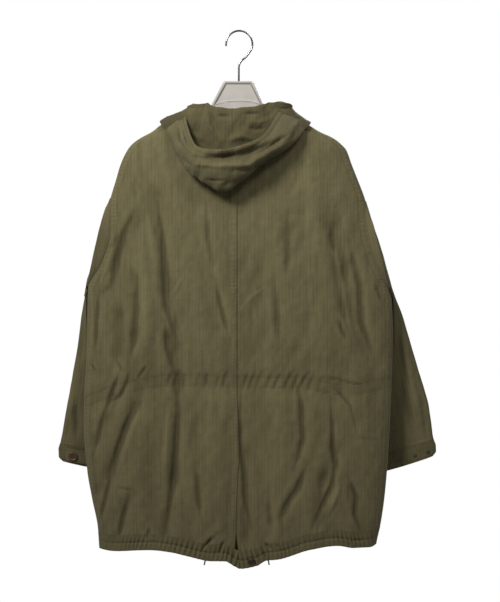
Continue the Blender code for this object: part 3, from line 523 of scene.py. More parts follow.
def along_paths(paths, x, z):
    """Soft ridges and troughs along runs of points, after a width and a relief. They fade to their ends."""
    total = np.zeros(np.broadcast(x, z).shape)
    for width, relief, *points in paths:
        points = np.asarray(points, float)
        runs = np.diff(points, axis=0)
        lengths = np.hypot(runs[:, 0], runs[:, 1])
        nearest, reach, done = np.full(total.shape, 1e9), np.zeros(total.shape), 0.0
        for (from_x, from_z), run, length in zip(points, runs, lengths):
            along = np.clip(((x - from_x) * run[0] + (z - from_z) * run[1]) / length**2, 0.0, 1.0)
            off = np.hypot(x - from_x - along * run[0], z - from_z - along * run[1])
            closer = off < nearest
            nearest = np.where(closer, off, nearest)
            reach = np.where(closer, done + along * length, reach)
            done += length
        fade = 0.12 + 0.88 * eased(np.minimum(reach, done - reach) / (0.38 * done))
        total = total + relief * fade * swell(nearest, width * (0.45 + 0.55 * fade))
    return total


def soft_lumps(x, z, wide, tall, seed):
    """Smooth uneven heights from -1 to 1, with lumps of one width and one height."""
    lattice = np.random.default_rng(seed).uniform(-1, 1, (64, 64))
    i, j = np.asarray(x) / wide + 31.3, np.asarray(z) / tall + 31.7
    a, b = np.floor(i).astype(int), np.floor(j).astype(int)
    s, t = eased(i - a), eased(j - b)
    top = lattice[a % 64, b % 64] * (1 - s) + lattice[(a + 1) % 64, b % 64] * s
    low = lattice[a % 64, (b + 1) % 64] * (1 - s) + lattice[(a + 1) % 64, (b + 1) % 64] * s
    return top * (1 - t) + low * t


def armhole_half(side, z):
    middle = (ARMHOLE_TOP[side] + ARMHOLE_FOOT[side]) / 2
    half = (ARMHOLE_TOP[side] - ARMHOLE_FOOT[side]) / 2
    return ARMHOLE_HALF * np.sqrt(np.maximum(0.0, 1 - ((z - middle) / half) ** 2))


def settled_height(face, x, z, across):
    """Real height of a point, once the neckline dips and the skirt hangs to its hem line."""
    neck = NECK_DROP[face] * (1 - across**2) ** 2 * (1 - eased((NECK_LEVEL - z) / NECK_FADE))
    hem = back_hem(x) if face == BACK else front_hem(x)
    skirt = (hem - HEM_LEVEL) * eased((SKIRT_LEVEL - z) / (SKIRT_LEVEL - HEM_LEVEL))
    return z - neck + skirt


def torso_normal(side, face, across, z):
    width, thickness = half_width(side, z), depth(face, z)
    width_slope = (half_width(side, z + 1) - half_width(side, z - 1)) / 2
    depth_slope = (depth(face, z + 1) - depth(face, z - 1)) / 2
    y_share = hollow(across)
    slope = across**ROUNDNESS * width_slope / width + y_share**ROUNDNESS * depth_slope / thickness
    out_x = side * across ** (ROUNDNESS - 1) / width
    out_y = face * y_share ** (ROUNDNESS - 1) / thickness
    return unit(np.stack((out_x, out_y, -slope), axis=-1))


def torso_surface(side, face, x, z, relief):
    """Outer point and normal of the coat's body at one place across and one level."""
    across = share_across(side, x, z)
    y = face * depth(face, z) * hollow(across)
    normal = torso_normal(side, face, across, z)
    calm = (1 - across**8) * eased((NECK_LEVEL - 60 - z) / 80)
    point = np.stack((x, y, settled_height(face, x, z, across)), axis=-1)
    return point + normal * (relief * calm)[..., None], normal


def outer_place(side, face, z):
    """How far across a body panel reaches: the side seam, or the edge of the armhole."""
    gap = np.maximum(armhole_half(side, z), SEAM_GAP / 2)
    return CENTRE_X + side * half_width(side, z) * hollow(gap / depth(face, z))


def crumple(x, z, seed):
    """Small wrinkles of worn cotton: long soft ones down the cloth and finer ones over them."""
    long = soft_lumps(x + 0.15 * z, z, 34, 150, seed) * 1.6
    slant = soft_lumps(x - 0.4 * z, z + 0.2 * x, 20, 64, seed + 1) * 0.8
    streaks = soft_lumps(x, z, 7, 70, seed + 3) * 0.35
    fine = soft_lumps(x, z, 8, 13, seed + 2) * 0.36
    return long + slant + streaks + fine


def hem_gathers(x, up):
    """The gathers of the drawn hem, from the place across and the height above the hem's edge."""
    tail = swell(x, 110)
    drift = 3.0 * soft_lumps(x, up * 0.1, 38, 60, 31)
    wave = np.cos(2 * np.pi * (x + 0.25 * np.sign(x) * up) / HEM_GATHER_PITCH + drift)
    wave = wave * (0.55 + 0.45 * soft_lumps(x, up * 0, 27, 60, 33))
    reach = swell(up - 15, 13 + 6 * tail)
    puff = 1.1 * eased(up / 4) * eased((17 - up) / 5)
    stitched = -1.1 * swell(up - 17, 2.2)
    return (1.7 + 1.1 * tail) * wave * reach + puff + stitched


def back_relief(side, x, z):
    """All the relief of the back: folds, creases, the drawn waist, the felled seams and the gathered hem."""
    across = share_across(side, x, z)
    height = settled_height(BACK, x, z, across)
    total = 0.8 * relief_of(BACK_FOLDS, x, z) + 1.15 * along_paths(BACK_CREASES, x, height)
    total = total + crumple(x, z, 11)
    waist = waist_height(x)
    off = z - waist + TUNNEL_HEIGHT / 2
    total = total - WAIST_SINK * swell(off, WAIST_SPREAD)
    for place, slant, relief in WAIST_GATHERS:
        level = float(waist_height(place)) - TUNNEL_HEIGHT / 2
        top, foot = (place + slant, level + 26), (place - slant * 0.7, level - 18)
        total = total + along_paths(((2.8, relief, top, (place, level + 3), foot),), x, z)
    for row in (TUNNEL_HEIGHT / 2, -TUNNEL_HEIGHT / 2):
        total = total - 0.9 * swell(off - row, 1.7)
    seam = centre_seam(z)
    on_seam = eased((z - CASING_TOP) / 30)
    lap = eased((x - seam + 15) / 3) * eased((seam - x) / 1.6)
    pucker = np.cos(2 * np.pi * z / SEAM_PUCKER_PITCH + 2.5 * soft_lumps(x * 0, z, 60, 40, 27))
    total = total + (1.3 * lap + 0.55 * pucker * swell(x - seam + 8, 5)) * on_seam
    from_side = np.abs(outer_place(side, BACK, z) - x)
    side_pucker = np.cos(2 * np.pi * z / SIDE_PUCKER_PITCH + 3.0 * soft_lumps(x * 0, z, 60, 36, 28))
    total = total + 0.80 * side_pucker * swell(from_side - 9, 6)
    return total + hem_gathers(x, z - HEM_LEVEL)


def body_points(side, face, x, z, relief):
    """As torso_surface, where a front lap crosses the centre line to the other side."""
    own, own_normal = torso_surface(side, face, x, z, relief)
    other, other_normal = torso_surface(-side, face, x, z, relief)
    crossed = ((x - CENTRE_X) * side < 0)[..., None]
    return np.where(crossed, other, own), np.where(crossed, other_normal, own_normal)


def grid_normals(grid, ring):
    """Normals of a grid of points, from the directions along its rows and columns."""
    if ring:
        along = np.roll(grid, -1, axis=1) - np.roll(grid, 1, axis=1)
    else:
        along = np.gradient(grid, axis=1)
    down = np.gradient(grid, axis=0)
    normal = np.cross(along, down)
    return normal / np.maximum(np.linalg.norm(normal, axis=-1, keepdims=True), 1e-9)


def facing(normals, wanted):
    """The same normals, turned round where they point away from the wanted ones on the whole."""
    return normals if np.sum(normals * wanted) > 0 else -normals


def smooth_piece(name, mesh, finish, sharp_angle):
    """A piece from its mesh, smooth but for edges that turn by more than an angle."""
    mesh.update()
    mesh.shade_smooth()
    mesh.set_sharp_from_angle(angle=math.radians(sharp_angle))
    mesh.materials.append(finish)
    return placed(name, mesh)


def cloth_wall(name, outer, inner, weave, wear_and_shade, ring, finish, inner_face_shade=0.0):
    """A closed wall of cloth between two grids of points. weave is its place on the flat cloth, in mm."""
    rows, columns = outer.shape[:2]
    spans = columns if ring else columns - 1
    row, col = np.meshgrid(np.arange(rows - 1), np.arange(spans), indexing="ij")
    row, col = row.ravel(), col.ravel()
    corner_rows = np.stack((row, row, row + 1, row + 1), axis=-1)
    corner_cols = np.stack((col, col + 1, col + 1, col), axis=-1)
    under = rows * columns
    outside = corner_rows * columns + corner_cols % columns
    across = np.arange(spans)
    edges, edge_rows, edge_cols = [], [], []

    def rim(r, c, turned):
        vertex = r * columns + c % columns
        first, second = vertex[:, 0], vertex[:, 1]
        quad = np.stack((second, first, under + first, under + second), axis=-1)
        row_of = np.stack((r[:, 1], r[:, 0], r[:, 0], r[:, 1]), axis=-1)
        col_of = np.stack((c[:, 1], c[:, 0], c[:, 0], c[:, 1]), axis=-1)
        if turned:
            quad, row_of, col_of = quad[:, ::-1], row_of[:, ::-1], col_of[:, ::-1]
        edges.append(quad)
        edge_rows.append(row_of)
        edge_cols.append(col_of)

    pair = np.stack((across, across + 1), axis=-1)
    rim(np.zeros_like(pair), pair, False)
    rim(np.full_like(pair, rows - 1), pair, True)
    if not ring:
        down = np.stack((np.arange(rows - 1), np.arange(1, rows)), axis=-1)
        rim(down, np.zeros_like(down), True)
        rim(down, np.full_like(down, columns - 1), False)
    faces = np.concatenate((outside, under + outside[:, ::-1], *edges))
    face_rows = np.concatenate((corner_rows, corner_rows[:, ::-1], *edge_rows))
    face_cols = np.concatenate((corner_cols, corner_cols[:, ::-1], *edge_cols))
    points = np.concatenate((outer.reshape(-1, 3), inner.reshape(-1, 3))) / 1000
    a, b, c = (points[outside[:, i]] for i in range(3))
    if np.sum(np.cross(b - a, c - a) * (a - points[under + outside[:, 0]])) < 0:
        faces, face_rows, face_cols = faces[:, ::-1], face_rows[:, ::-1], face_cols[:, ::-1]
    mesh = bpy.data.meshes.new(name)
    mesh.from_pydata(points.tolist(), [], faces.tolist())
    flat = mesh.uv_layers.new(name="cloth")
    flat.data.foreach_set("uv", (weave[face_rows, face_cols] / 1000).astype(np.float32).ravel())
    # The outer face carries its tone shift of wear and painted shade. The inner face carries its own painted
    # shade, which is zero except on the hood.
    wear_and_shade_layer = mesh.attributes.new("wear_and_shade", "FLOAT", "POINT")
    both_sides = np.concatenate((wear_and_shade.ravel(), (wear_and_shade * 0 + inner_face_shade).ravel()))
    wear_and_shade_layer.data.foreach_set("value", both_sides.astype(np.float32))
    return smooth_piece(name, mesh, finish, 60)


CLOTH_DARK = (0.060, 0.050, 0.016)
CLOTH_LIGHT = (0.162, 0.141, 0.066)
STRIPE_PITCH = 0.0070
TWILL_PITCH = 0.0013


def cotton_finish(name):
    """Striped herringbone cotton, from the place on the flat cloth: u across the stripes and v along them."""
    finish, tree, shader = new_finish(name, Roughness=0.9, Sheen_Weight=0.12, Sheen_Roughness=0.5)
    flat = add_node(tree, "ShaderNodeUVMap", {"uv_map": "cloth"}).outputs[0]
    parts = add_node(tree, "ShaderNodeSeparateXYZ", None, {0: flat})
    u, v = Amount(tree, parts.outputs[0]), Amount(tree, parts.outputs[1])
    place = object_place(tree)

    def uneven_yarn(across, along):
        """Uneven tone, with so many patches in a metre across the stripes and along them."""
        sockets = {0: flat, 1: (across, along, 1.0)}
        stretched = add_node(tree, "ShaderNodeVectorMath", {"operation": "MULTIPLY"}, sockets)
        return noise(tree, stretched.outputs[0], 1.0, 2.0)

    stripe = (u * (2 * math.pi / STRIPE_PITCH)).maths("COSINE") * 0.5 + 0.5
    zigzag = (u * (0.5 / STRIPE_PITCH)).maths("PINGPONG", 0.5) * (2 * STRIPE_PITCH / TWILL_PITCH)
    twill = ((v * (1 / TWILL_PITCH) + zigzag) * (2 * math.pi)).maths("SINE") * 0.5 + 0.5
    streak = uneven_yarn(430.0, 20.0)
    slub = uneven_yarn(60.0, 560.0)
    wide = uneven_yarn(210.0, 11.0)
    patch = noise(tree, place, 5.0, 3.0)
    mottle = noise(tree, place, 38.0, 3.0)
    # This attribute lightens and darkens the cloth, partly as wear and partly as painted shade and painted
    # light.
    wear_and_shade = Amount(tree, add_node(tree, "ShaderNodeAttribute", {"attribute_name": "wear_and_shade"}).outputs["Fac"])
    tone = 0.06 + stripe * 0.10 + twill * 0.08 + streak * 0.34 + slub * 0.16 + wide * 0.40
    tone = tone + (patch - 0.5) * 0.30 + (mottle - 0.5) * 0.22 + wear_and_shade * 0.34
    tone = tone.maths("MINIMUM", 1.0).maths("MAXIMUM", 0.0)
    tree.links.new(between(tree, tone, CLOTH_DARK, CLOTH_LIGHT), shader.inputs["Base Color"])
    weave = twill * 0.35 + stripe * 0.25 + streak * 0.4 + slub * 0.3
    woven = raised(tree, weave, 0.0005, 0.6)
    pucker = noise(tree, place, 55.0, 3.0, 0.55)
    normal = raised(tree, pucker, 0.0030, 0.5, woven)
    tree.links.new(normal, shader.inputs["Normal"])
    rough = 0.84 + mottle * 0.14
    tree.links.new(rough.socket, shader.inputs["Roughness"])
    return finish


cotton = cotton_finish("striped_herringbone_cotton")


def thread_finish(name, colour):
    """Twisted sewing thread."""
    darker = tuple(channel * 0.6 for channel in colour)
    return mottled_finish(name, (900.0, 1.0), darker, colour, Roughness=0.7)


seam_thread = thread_finish("olive_seam_thread", (0.150, 0.132, 0.072))


def run_lengths(steps):
    """How far along a run each of its points lies, from the steps between them."""
    return np.concatenate(([0.0], np.cumsum(steps)))


def along_run(places, lengths, values):
    """The values along a run of points, at places between them."""
    return np.stack([np.interp(places, lengths, values[:, i]) for i in range(3)], axis=-1)


def sample_line(points, normals, skip=0.0):
    """Points, directions and normals of the stitches along a run of points."""
    lengths = run_lengths(np.linalg.norm(np.diff(points, axis=0), axis=1))
    places = np.arange(skip + STITCH_PITCH / 2, lengths[-1] - skip, STITCH_PITCH)
    ahead, behind = along_run(places + 0.8, lengths, points), along_run(places - 0.8, lengths, points)
    return along_run(places, lengths, points), ahead - behind, unit(along_run(places, lengths, normals))


def stitch_tree():
    """A row of stitches: one short thread on each point, laid along its direction and flat to its normal."""
    tree = bpy.data.node_groups.new("stitch_row", "GeometryNodeTree")
    tree.interface.new_socket("Geometry", in_out="OUTPUT", socket_type="NodeSocketGeometry")
    inputs = (("Geometry", "Geometry"), ("Length", "Float"), ("Thickness", "Float"), ("Thread", "Material"))
    for name, kind in inputs:
        tree.interface.new_socket(name, in_out="INPUT", socket_type="NodeSocket" + kind)
    source = tree.nodes.new("NodeGroupInput")
    result = tree.nodes.new("NodeGroupOutput")
    halved = {0: source.outputs["Thickness"], 1: 0.5}
    half = add_node(tree, "ShaderNodeMath", {"operation": "MULTIPLY"}, halved)
    thread_sizes = {"Vertices": 6, "Radius": half.outputs[0], "Depth": source.outputs["Length"]}
    thread = add_node(tree, "GeometryNodeMeshCylinder", None, thread_sizes)
    direction = {"data_type": "FLOAT_VECTOR"}
    along = add_node(tree, "GeometryNodeInputNamedAttribute", direction, {"Name": "along"})
    out = add_node(tree, "GeometryNodeInputNamedAttribute", direction, {"Name": "out"})
    laid = add_node(tree, "FunctionNodeAlignRotationToVector", {"axis": "Z"}, {"Vector": along.outputs[0]})
    turned = {"Rotation": laid.outputs[0], "Vector": out.outputs[0]}
    flat = add_node(tree, "FunctionNodeAlignRotationToVector", {"axis": "X", "pivot_axis": "Z"}, turned)
    vary = add_node(tree, "FunctionNodeRandomValue", {"data_type": "FLOAT"}, {2: 0.85, 3: 1.1, "Seed": 7})
    on_points = {"Points": source.outputs["Geometry"], "Instance": thread.outputs[0]}
    on_points.update({"Rotation": flat.outputs[0], "Scale": vary.outputs[1]})
    sewn = add_node(tree, "GeometryNodeInstanceOnPoints", None, on_points)
    real = add_node(tree, "GeometryNodeRealizeInstances", None, {0: sewn.outputs[0]})
    threaded = {0: real.outputs[0], "Material": source.outputs["Thread"]}
    done = add_node(tree, "GeometryNodeSetMaterial", None, threaded)
    tree.links.new(done.outputs[0], result.inputs[0])
    return tree


stitches = stitch_tree()


def plain_mesh(holder, name):
    """The evaluated result of a piece, as a plain mesh of its own."""
    graph = bpy.context.evaluated_depsgraph_get()
    mesh = bpy.data.meshes.new_from_object(holder.evaluated_get(graph))
    mesh.name = name
    bpy.data.objects.remove(holder)
    return placed(name, mesh)


def sew(name, lines, thread, length=STITCH_LENGTH, thickness=THREAD_THICKNESS):
    """Stitches along several lines, as one piece. A line is its points, directions and normals."""
    points = np.concatenate([line[0] + line[2] * thickness * 0.35 for line in lines]) / 1000
    mesh = bpy.data.meshes.new(name + "_line")
    mesh.from_pydata(points.tolist(), [], [])
    for label, index in (("along", 1), ("out", 2)):
        values = unit(np.concatenate([line[index] for line in lines]))
        kept = mesh.attributes.new(label, "FLOAT_VECTOR", "POINT")
        kept.data.foreach_set("vector", values.astype(np.float32).ravel())
    holder = placed(name + "_line", mesh)
    row = holder.modifiers.new("stitches", "NODES")
    row.node_group = stitches
    wanted = {"Length": length / 1000, "Thickness": thickness / 1000, "Thread": thread}
    for item in stitches.interface.items_tree:
        if item.item_type == "SOCKET" and item.in_out == "INPUT" and item.name in wanted:
            row[item.identifier] = wanted[item.name]
    piece = plain_mesh(holder, name)
    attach(piece, "root")
    return piece


def wear_and_crease_shade(x, z, relief):
    """Tone shift from the cloth's relief: painted shade darkens its creases and low places, and its high places
    are painted lighter, partly as rubbed wear and partly as painted light.
    """
    wide = np.pad(relief, 6, mode="edge")
    around = (wide[6:-6, :-12] + wide[6:-6, 12:] + wide[:-12, 6:-6] + wide[12:, 6:-6]) / 4
    near = (wide[6:-6, 3:-9] + wide[6:-6, 9:-3] + wide[3:-9, 6:-6] + wide[9:-3, 6:-6]) / 4
    # Painted shade at the bottoms of creases and painted light on ridges, measured against the relief around
    # them; the soft lumps are random tone.
    hump = np.clip((relief - around) / 2.4, -0.8, 0.5) + np.clip((relief - near) / 1.6, -0.8, 0.5)
    return np.clip(relief / 11.0, -0.5, 0.4) + 0.65 * hump + 0.14 * soft_lumps(x, z, 26, 60, 41)


def panel_levels(side, bottom):
    """The levels of a panel's rows, closer together at both ends of the armhole."""
    top = np.linspace(NECK_LEVEL, ARMHOLE_TOP[side], SHOULDER_ROWS)[:-1]
    turn = np.pi * np.arange(ARMHOLE_ROWS) / (ARMHOLE_ROWS - 1)
    armhole = ARMHOLE_TOP[side] + (ARMHOLE_FOOT[side] - ARMHOLE_TOP[side]) * (1 - np.cos(turn)) / 2
    body = np.linspace(ARMHOLE_FOOT[side], bottom, BODY_ROWS)[1:]
    return np.concatenate((top, armhole, body))[:, None]


panel_sheets = {}


def back_panel(side, word):
    z = panel_levels(side, CASING_TOP)
    inner_x = centre_seam(z) + side * vent_half(z)
    outer_x = outer_place(side, BACK, z)
    share = SEAM_SHARE + (1 - SEAM_SHARE) * bunched(np.linspace(0, 1, BACK_COLUMNS))
    share = np.concatenate((np.array(SEAM_COLUMNS) / PANEL_WIDTH, share))
    x = inner_x + (outer_x - inner_x) * share
    z = np.broadcast_to(z, x.shape)
    relief = back_relief(side, x, z)
    from_side = np.abs(outer_x - x)
    relief = relief + 0.8 * eased((15 - from_side) / 3) * eased(from_side / 1.5)
    outer, normal = torso_surface(side, BACK, x, z, relief)
    # Painted shade and wear: the relief paints creases darker and high places lighter, and the outer edge is
    # lighter with wear. Dark lines of painted shade run along the centre seam under its lap and along the edge
    # of the side seam's raised band.
    tone_shift = wear_and_crease_shade(x, z, relief) + 0.5 * swell(from_side, 3)
    tone_shift = tone_shift - 0.9 * swell(x - centre_seam(z), 1.6)
    tone_shift = tone_shift - 0.5 * swell(from_side - 16, 1.5)
    weave = np.stack((x, z), axis=-1)
    piece = cloth_wall("back_panel_" + word, outer, outer - CLOTH * normal, weave, tone_shift, False, cotton)
    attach(piece, "root")
    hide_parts("back_" + word)
    panel_sheets[side, BACK] = (outer, normal, x, z)
    return piece


back_left_panel = back_panel(LEFT, "left")
back_right_panel = back_panel(RIGHT, "right")


def back_line(side, x, z):
    """A run of points over the back, for a row of stitches."""
    x, z = np.broadcast_arrays(np.asarray(x, float), np.asarray(z, float))
    relief = back_relief(side, x, z)
    return torso_surface(side, BACK, x, z, relief)


back_rows = []
seam_z = np.linspace(-180, -1000, 500)
for inset in SEAM_STITCH_INSETS:
    back_rows.append(sample_line(*back_line(LEFT, centre_seam(seam_z) - inset, seam_z)))
for side in (LEFT, RIGHT):
    side_z = np.linspace(ARMHOLE_FOOT[side] - 4, CASING_TOP + 2, 400)
    for inset in SIDE_STITCH_INSETS:
        side_x = outer_place(side, BACK, side_z) - side * inset
        back_rows.append(sample_line(*back_line(side, side_x, side_z)))
    arm_z = np.linspace(ARMHOLE_TOP[side] - 2, ARMHOLE_FOOT[side] + 2, 200)
    arm_x = outer_place(side, BACK, arm_z) - side * SIDE_STITCH_INSETS[0]
    back_rows.append(sample_line(*back_line(side, arm_x, arm_z)))
    edge = outer_place(side, BACK, np.array([WAIST_SIDE_LEVEL]))[0] - side * 6
    waist_x = np.linspace(CENTRE_X + side * 2, edge, 400)
    for drop in (0.0, TUNNEL_HEIGHT):
        back_rows.append(sample_line(*back_line(side, waist_x, waist_height(waist_x) - drop)))
sew("back_seam_stitches", back_rows, seam_thread)

VENT_TOP, VENT_FOOT = -985.0, -1046.0
UNDERLAP_DEPTH = 9.0
lap_x, lap_z = np.meshgrid(np.linspace(-17, 15, 15), np.linspace(VENT_TOP, VENT_FOOT, 25))
lap_relief = back_relief(LEFT, lap_x, lap_z) * 0.3 - UNDERLAP_DEPTH
lap_outer, lap_out = body_points(LEFT, BACK, lap_x, lap_z, lap_relief)
lap_inner = lap_outer - CLOTH * lap_out
lap_weave = np.stack((lap_x, lap_z), axis=-1)
underlap = cloth_wall("vent_underlap", lap_outer, lap_inner, lap_weave, lap_x * 0, False, cotton)
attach(underlap, "root")


# ---- The front ----
# Two panels like those of the back, on the side away from the camera: the left laps over the right.
# Each has a plain hem and a shaped neck edge, and the left one a button stand stitched down its centre edge.

FRONT_LAP = 26.0
LAP_END = 30.0
LAP_SINK = 2.6
LAP_EASE = 30.0
STAND_WIDTH = 24.0
FRONT_COLUMNS = 81
FRONT_GATHER_PITCH = 16.0
FRONT_FOLDS = (
    # from across, from height, to across, to height, width, relief
    (-150, -300, -120, -620, 24, -4.5),
    (-190, -330, -215, -560, 20, -3.5),
    (-95, -740, -120, -1010, 24, -5.0),
    (-205, -790, -225, -1000, 20, -4.0),
    (-60, -360, -64, -660, 28, 4.0),
    (140, -320, 118, -640, 22, -5.0),
    (205, -350, 225, -590, 20, -3.5),
    (90, -740, 112, -1000, 24, -4.5),
    (190, -800, 205, -1010, 22, -4.0),
    (64, -380, 60, -650, 28, 4.0),
)


def front_relief(side, x, z):
    total = relief_of(FRONT_FOLDS, x, z) + crumple(x, z, 51)
    off = z - waist_height(x) + TUNNEL_HEIGHT / 2
    drift = 2.0 * soft_lumps(x, z * 0.2, 44, 60, 61)
    gather = np.cos(2 * np.pi * (x + 0.3 * off) / FRONT_GATHER_PITCH + drift)
    total = total - 2.5 * swell(off, 24) + 1.0 * gather * swell(off, 16)
    for row in (TUNNEL_HEIGHT / 2, -TUNNEL_HEIGHT / 2):
        total = total - 0.6 * swell(off - row, 1.8)
    return total * eased((np.abs(x - CENTRE_X) - LAP_END) / LAP_EASE)


def front_points(side, x, z):
    outer, normal = body_points(side, FRONT, x, z, front_relief(side, x, z))
    if side == RIGHT:
        lap = eased((CENTRE_X + LAP_END + LAP_EASE - x) / LAP_EASE)
        outer = outer - normal * (LAP_SINK * lap)[..., None]
    return outer, normal


def front_panel(side, word):
    z = panel_levels(side, HEM_LEVEL)[::2]
    inner_x = np.full_like(z, CENTRE_X - side * FRONT_LAP)
    outer_x = outer_place(side, FRONT, z)
    x = inner_x + (outer_x - inner_x) * bunched(np.linspace(0, 1, FRONT_COLUMNS))
    z = np.broadcast_to(z, x.shape)
    outer, normal = front_points(side, x, z)
    # Painted shade in the creases and lighter high places from the relief, partly wear and partly painted
    # light. The centre edge is lighter with wear.
    tone_shift = wear_and_crease_shade(x, z, front_relief(side, x, z)) + 0.4 * swell(x - inner_x, 3)
    weave = np.stack((x, z), axis=-1)
    piece = cloth_wall("front_panel_" + word, outer, outer - CLOTH * normal, weave, tone_shift, False, cotton)
    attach(piece, "root")
    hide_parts("front_" + word)
    panel_sheets[side, FRONT] = (outer, normal, x, z)
    return piece


front_left_panel = front_panel(LEFT, "left")
front_right_panel = front_panel(RIGHT, "right")
front_rows = []
for side in (LEFT, RIGHT):
    edge = outer_place(side, FRONT, np.array([WAIST_SIDE_LEVEL]))[0] - side * 6
    reach = CENTRE_X - side * (FRONT_LAP - 6) if side == LEFT else CENTRE_X + FRONT_LAP + 4
    waist_x = np.linspace(reach, edge, 400)
    for drop in (0.0, TUNNEL_HEIGHT):
        front_rows.append(sample_line(*front_points(side, waist_x, waist_height(waist_x) - drop)))
    hem_x = np.linspace(reach, outer_place(side, FRONT, np.array([-1050.0]))[0] - side * 4, 300)
    front_rows.append(sample_line(*front_points(side, hem_x, np.full_like(hem_x, HEM_LEVEL + 16))))
stand_z = np.linspace(-196, -1058, 500)
for place in (CENTRE_X + FRONT_LAP - 5, CENTRE_X - STAND_WIDTH):
    front_rows.append(sample_line(*front_points(LEFT, np.full_like(stand_z, place), stand_z)))
sew("front_seam_stitches", front_rows, seam_thread)


# ---- The sleeves ----
# Each is one piece of the same cotton, closed by a seam under the arm and sewn into the dropped armhole.
# They hang flat beside the body, behind its edge as the camera sees it, and taper to the cuff.

SLEEVE_CLEARANCE = 6.7
ARMHOLE_LAP = 1.2
LAP_LIFT = 0.6
SLEEVE_LEAN = {LEFT: 0.15, RIGHT: -0.22}
RING_STEPS = 112
SLEEVE_RINGS, START_RINGS = 130, 12
CLEARANCE_ALONG = (
    # place in the sleeve's table, share of the clearance
    (0, 0.25),
    (1.5, 0.4),
    (4, 1),
    (8, 1),
    (9, 0),
)
SLEEVES = {
    LEFT: (
        # outer fold across, height; inner fold across, height; outer y, inner y, half depth
        (-274, -359, -312, -529, 0, 4, 27),
        (-282, -386, -316, -544, 3, 16, 29),
        (-290, -420, -311, -558, 7, 29, 30),
        (-300, -457, -296, -577, 12, 42, 30),
        (-309, -492, -276, -600, 17, 52, 29),
        (-318, -529, -254, -625, 22, 60, 28),
        (-325, -568, -235, -652, 26, 63, 26),
        (-331, -610, -221, -682, 29, 64, 25),
        (-337, -653, -215, -715, 31, 65, 24),
        (-345, -699, -217, -751, 33, 65, 23),
        (-352, -745, -225, -786, 35, 64, 21),
        (-361, -786, -235, -820, 37, 62, 20),
        (-367, -822, -246, -847, 38, 61, 19),
        (-372, -847, -254, -868, 38, 60, 18),
    ),
    RIGHT: (
        (262, -361, 307, -535, 0, 4, 27),
        (270, -384, 311, -550, 3, 16, 29),
        (281, -416, 306, -564, 7, 29, 30),
        (294, -451, 291, -583, 12, 42, 30),
        (304, -486, 270, -606, 17, 52, 29),
        (316, -523, 250, -631, 22, 60, 28),
        (329, -562, 233, -659, 26, 63, 26),
        (343, -604, 223, -688, 29, 64, 25),
        (356, -647, 221, -721, 31, 65, 24),
        (370, -693, 227, -755, 33, 65, 23),
        (384, -739, 242, -788, 35, 64, 21),
        (394, -780, 260, -822, 37, 62, 20),
        (400, -813, 279, -851, 38, 61, 19),
        (403, -838, 290, -870, 38, 60, 18),
    ),
}
SLEEVE_FOLDS = (
    # width, relief, then points across and their heights
    (7, -4.0, (-322, -560), (-328, -640), (-330, -700)),
    (6, -5.0, (-338, -755), (-336, -800), (-338, -846)),
    (8, 3.0, (-346, -700), (-352, -800)),
    (5, -3.0, (-352, -790), (-360, -842)),
    (7, -4.0, (322, -600), (338, -680), (352, -760)),
    (7, -5.0, (330, -700), (344, -760), (362, -830)),
    (7, 3.5, (338, -640), (356, -720), (374, -800)),
    (6, -3.5, (376, -740), (386, -800), (388, -836)),
    (6, 3.0, (318, -560), (326, -660)),
    (5, -3.0, (300, -470), (312, -540), (318, -600)),
)


def closeness(points):
    """How far points stand outside the body of the coat, and the way out."""

    def level(x, y, z):
        wide = np.where(x < CENTRE_X, half_width(LEFT, z), half_width(RIGHT, z))
        deep = np.where(y < 0, depth(BACK, z), depth(FRONT, z))
        wide_share, deep_share = np.abs(x - CENTRE_X) / wide, np.abs(y) / deep
        return (wide_share**ROUNDNESS + deep_share**ROUNDNESS) ** (1 / ROUNDNESS)

    x, y, z = points[..., 0], points[..., 1], points[..., 2]
    step = 0.05
    slope = np.stack(
        (
            level(x + step, y, z) - level(x - step, y, z),
            level(x, y + step, z) - level(x, y - step, z),
            level(x, y, z + step) - level(x, y, z - step),
        ),
        axis=-1,
    ) / (2 * step)
    size = np.linalg.norm(slope, axis=-1)
    return (level(x, y, z) - 1) / size, slope / size[..., None]


def pushed_out(points, clearance):
    """Points moved until each is clear of the body of the coat."""
    for _ in range(4):
        distance, outward = closeness(points)
        points = points + np.maximum(clearance - distance, 0.0)[..., None] * outward
    return points


def ring_angles():
    return 2 * np.pi * np.arange(RING_STEPS) / RING_STEPS


def armhole_ring(side):
    """First ring of a sleeve: the edge of the armhole, lapped a little over the panels."""
    angle = ring_angles()
    top, foot = ARMHOLE_TOP[side], ARMHOLE_FOOT[side]
    z = top + (foot - top) * (1 - np.cos(angle)) / 2
    opening = armhole_half(side, z) + ARMHOLE_LAP
    points = np.zeros((RING_STEPS, 3))
    normals = np.zeros((RING_STEPS, 3))
    for face, chosen in ((BACK, np.sin(angle) >= 0), (FRONT, np.sin(angle) < 0)):
        share = hollow(opening[chosen] / depth(face, z[chosen]))
        x = CENTRE_X + side * half_width(side, z[chosen]) * share
        points[chosen], normals[chosen] = torso_surface(side, face, x, z[chosen], np.zeros_like(x))
        points[chosen] += normals[chosen] * LAP_LIFT
    return points, normals


def tube_ring(row):
    """A flattened ring between the outer and the inner fold of a sleeve or cuff."""
    outer_x, outer_z, inner_x, inner_z, outer_y, inner_y, half_depth = row
    angle = ring_angles()
    share = (1 - np.cos(angle)) / 2
    x = outer_x + (inner_x - outer_x) * share
    y = outer_y + (inner_y - outer_y) * share - half_depth * np.sin(angle)
    z = outer_z + (inner_z - outer_z) * share
    return np.stack((x, y, z), axis=-1)


def table_rings(table, places):
    rows = np.asarray(table, float)
    curves = [through(np.arange(len(rows)), rows[:, i]) for i in range(rows.shape[1])]
    return np.array([tube_ring([curve(place) for curve in curves]) for place in places])


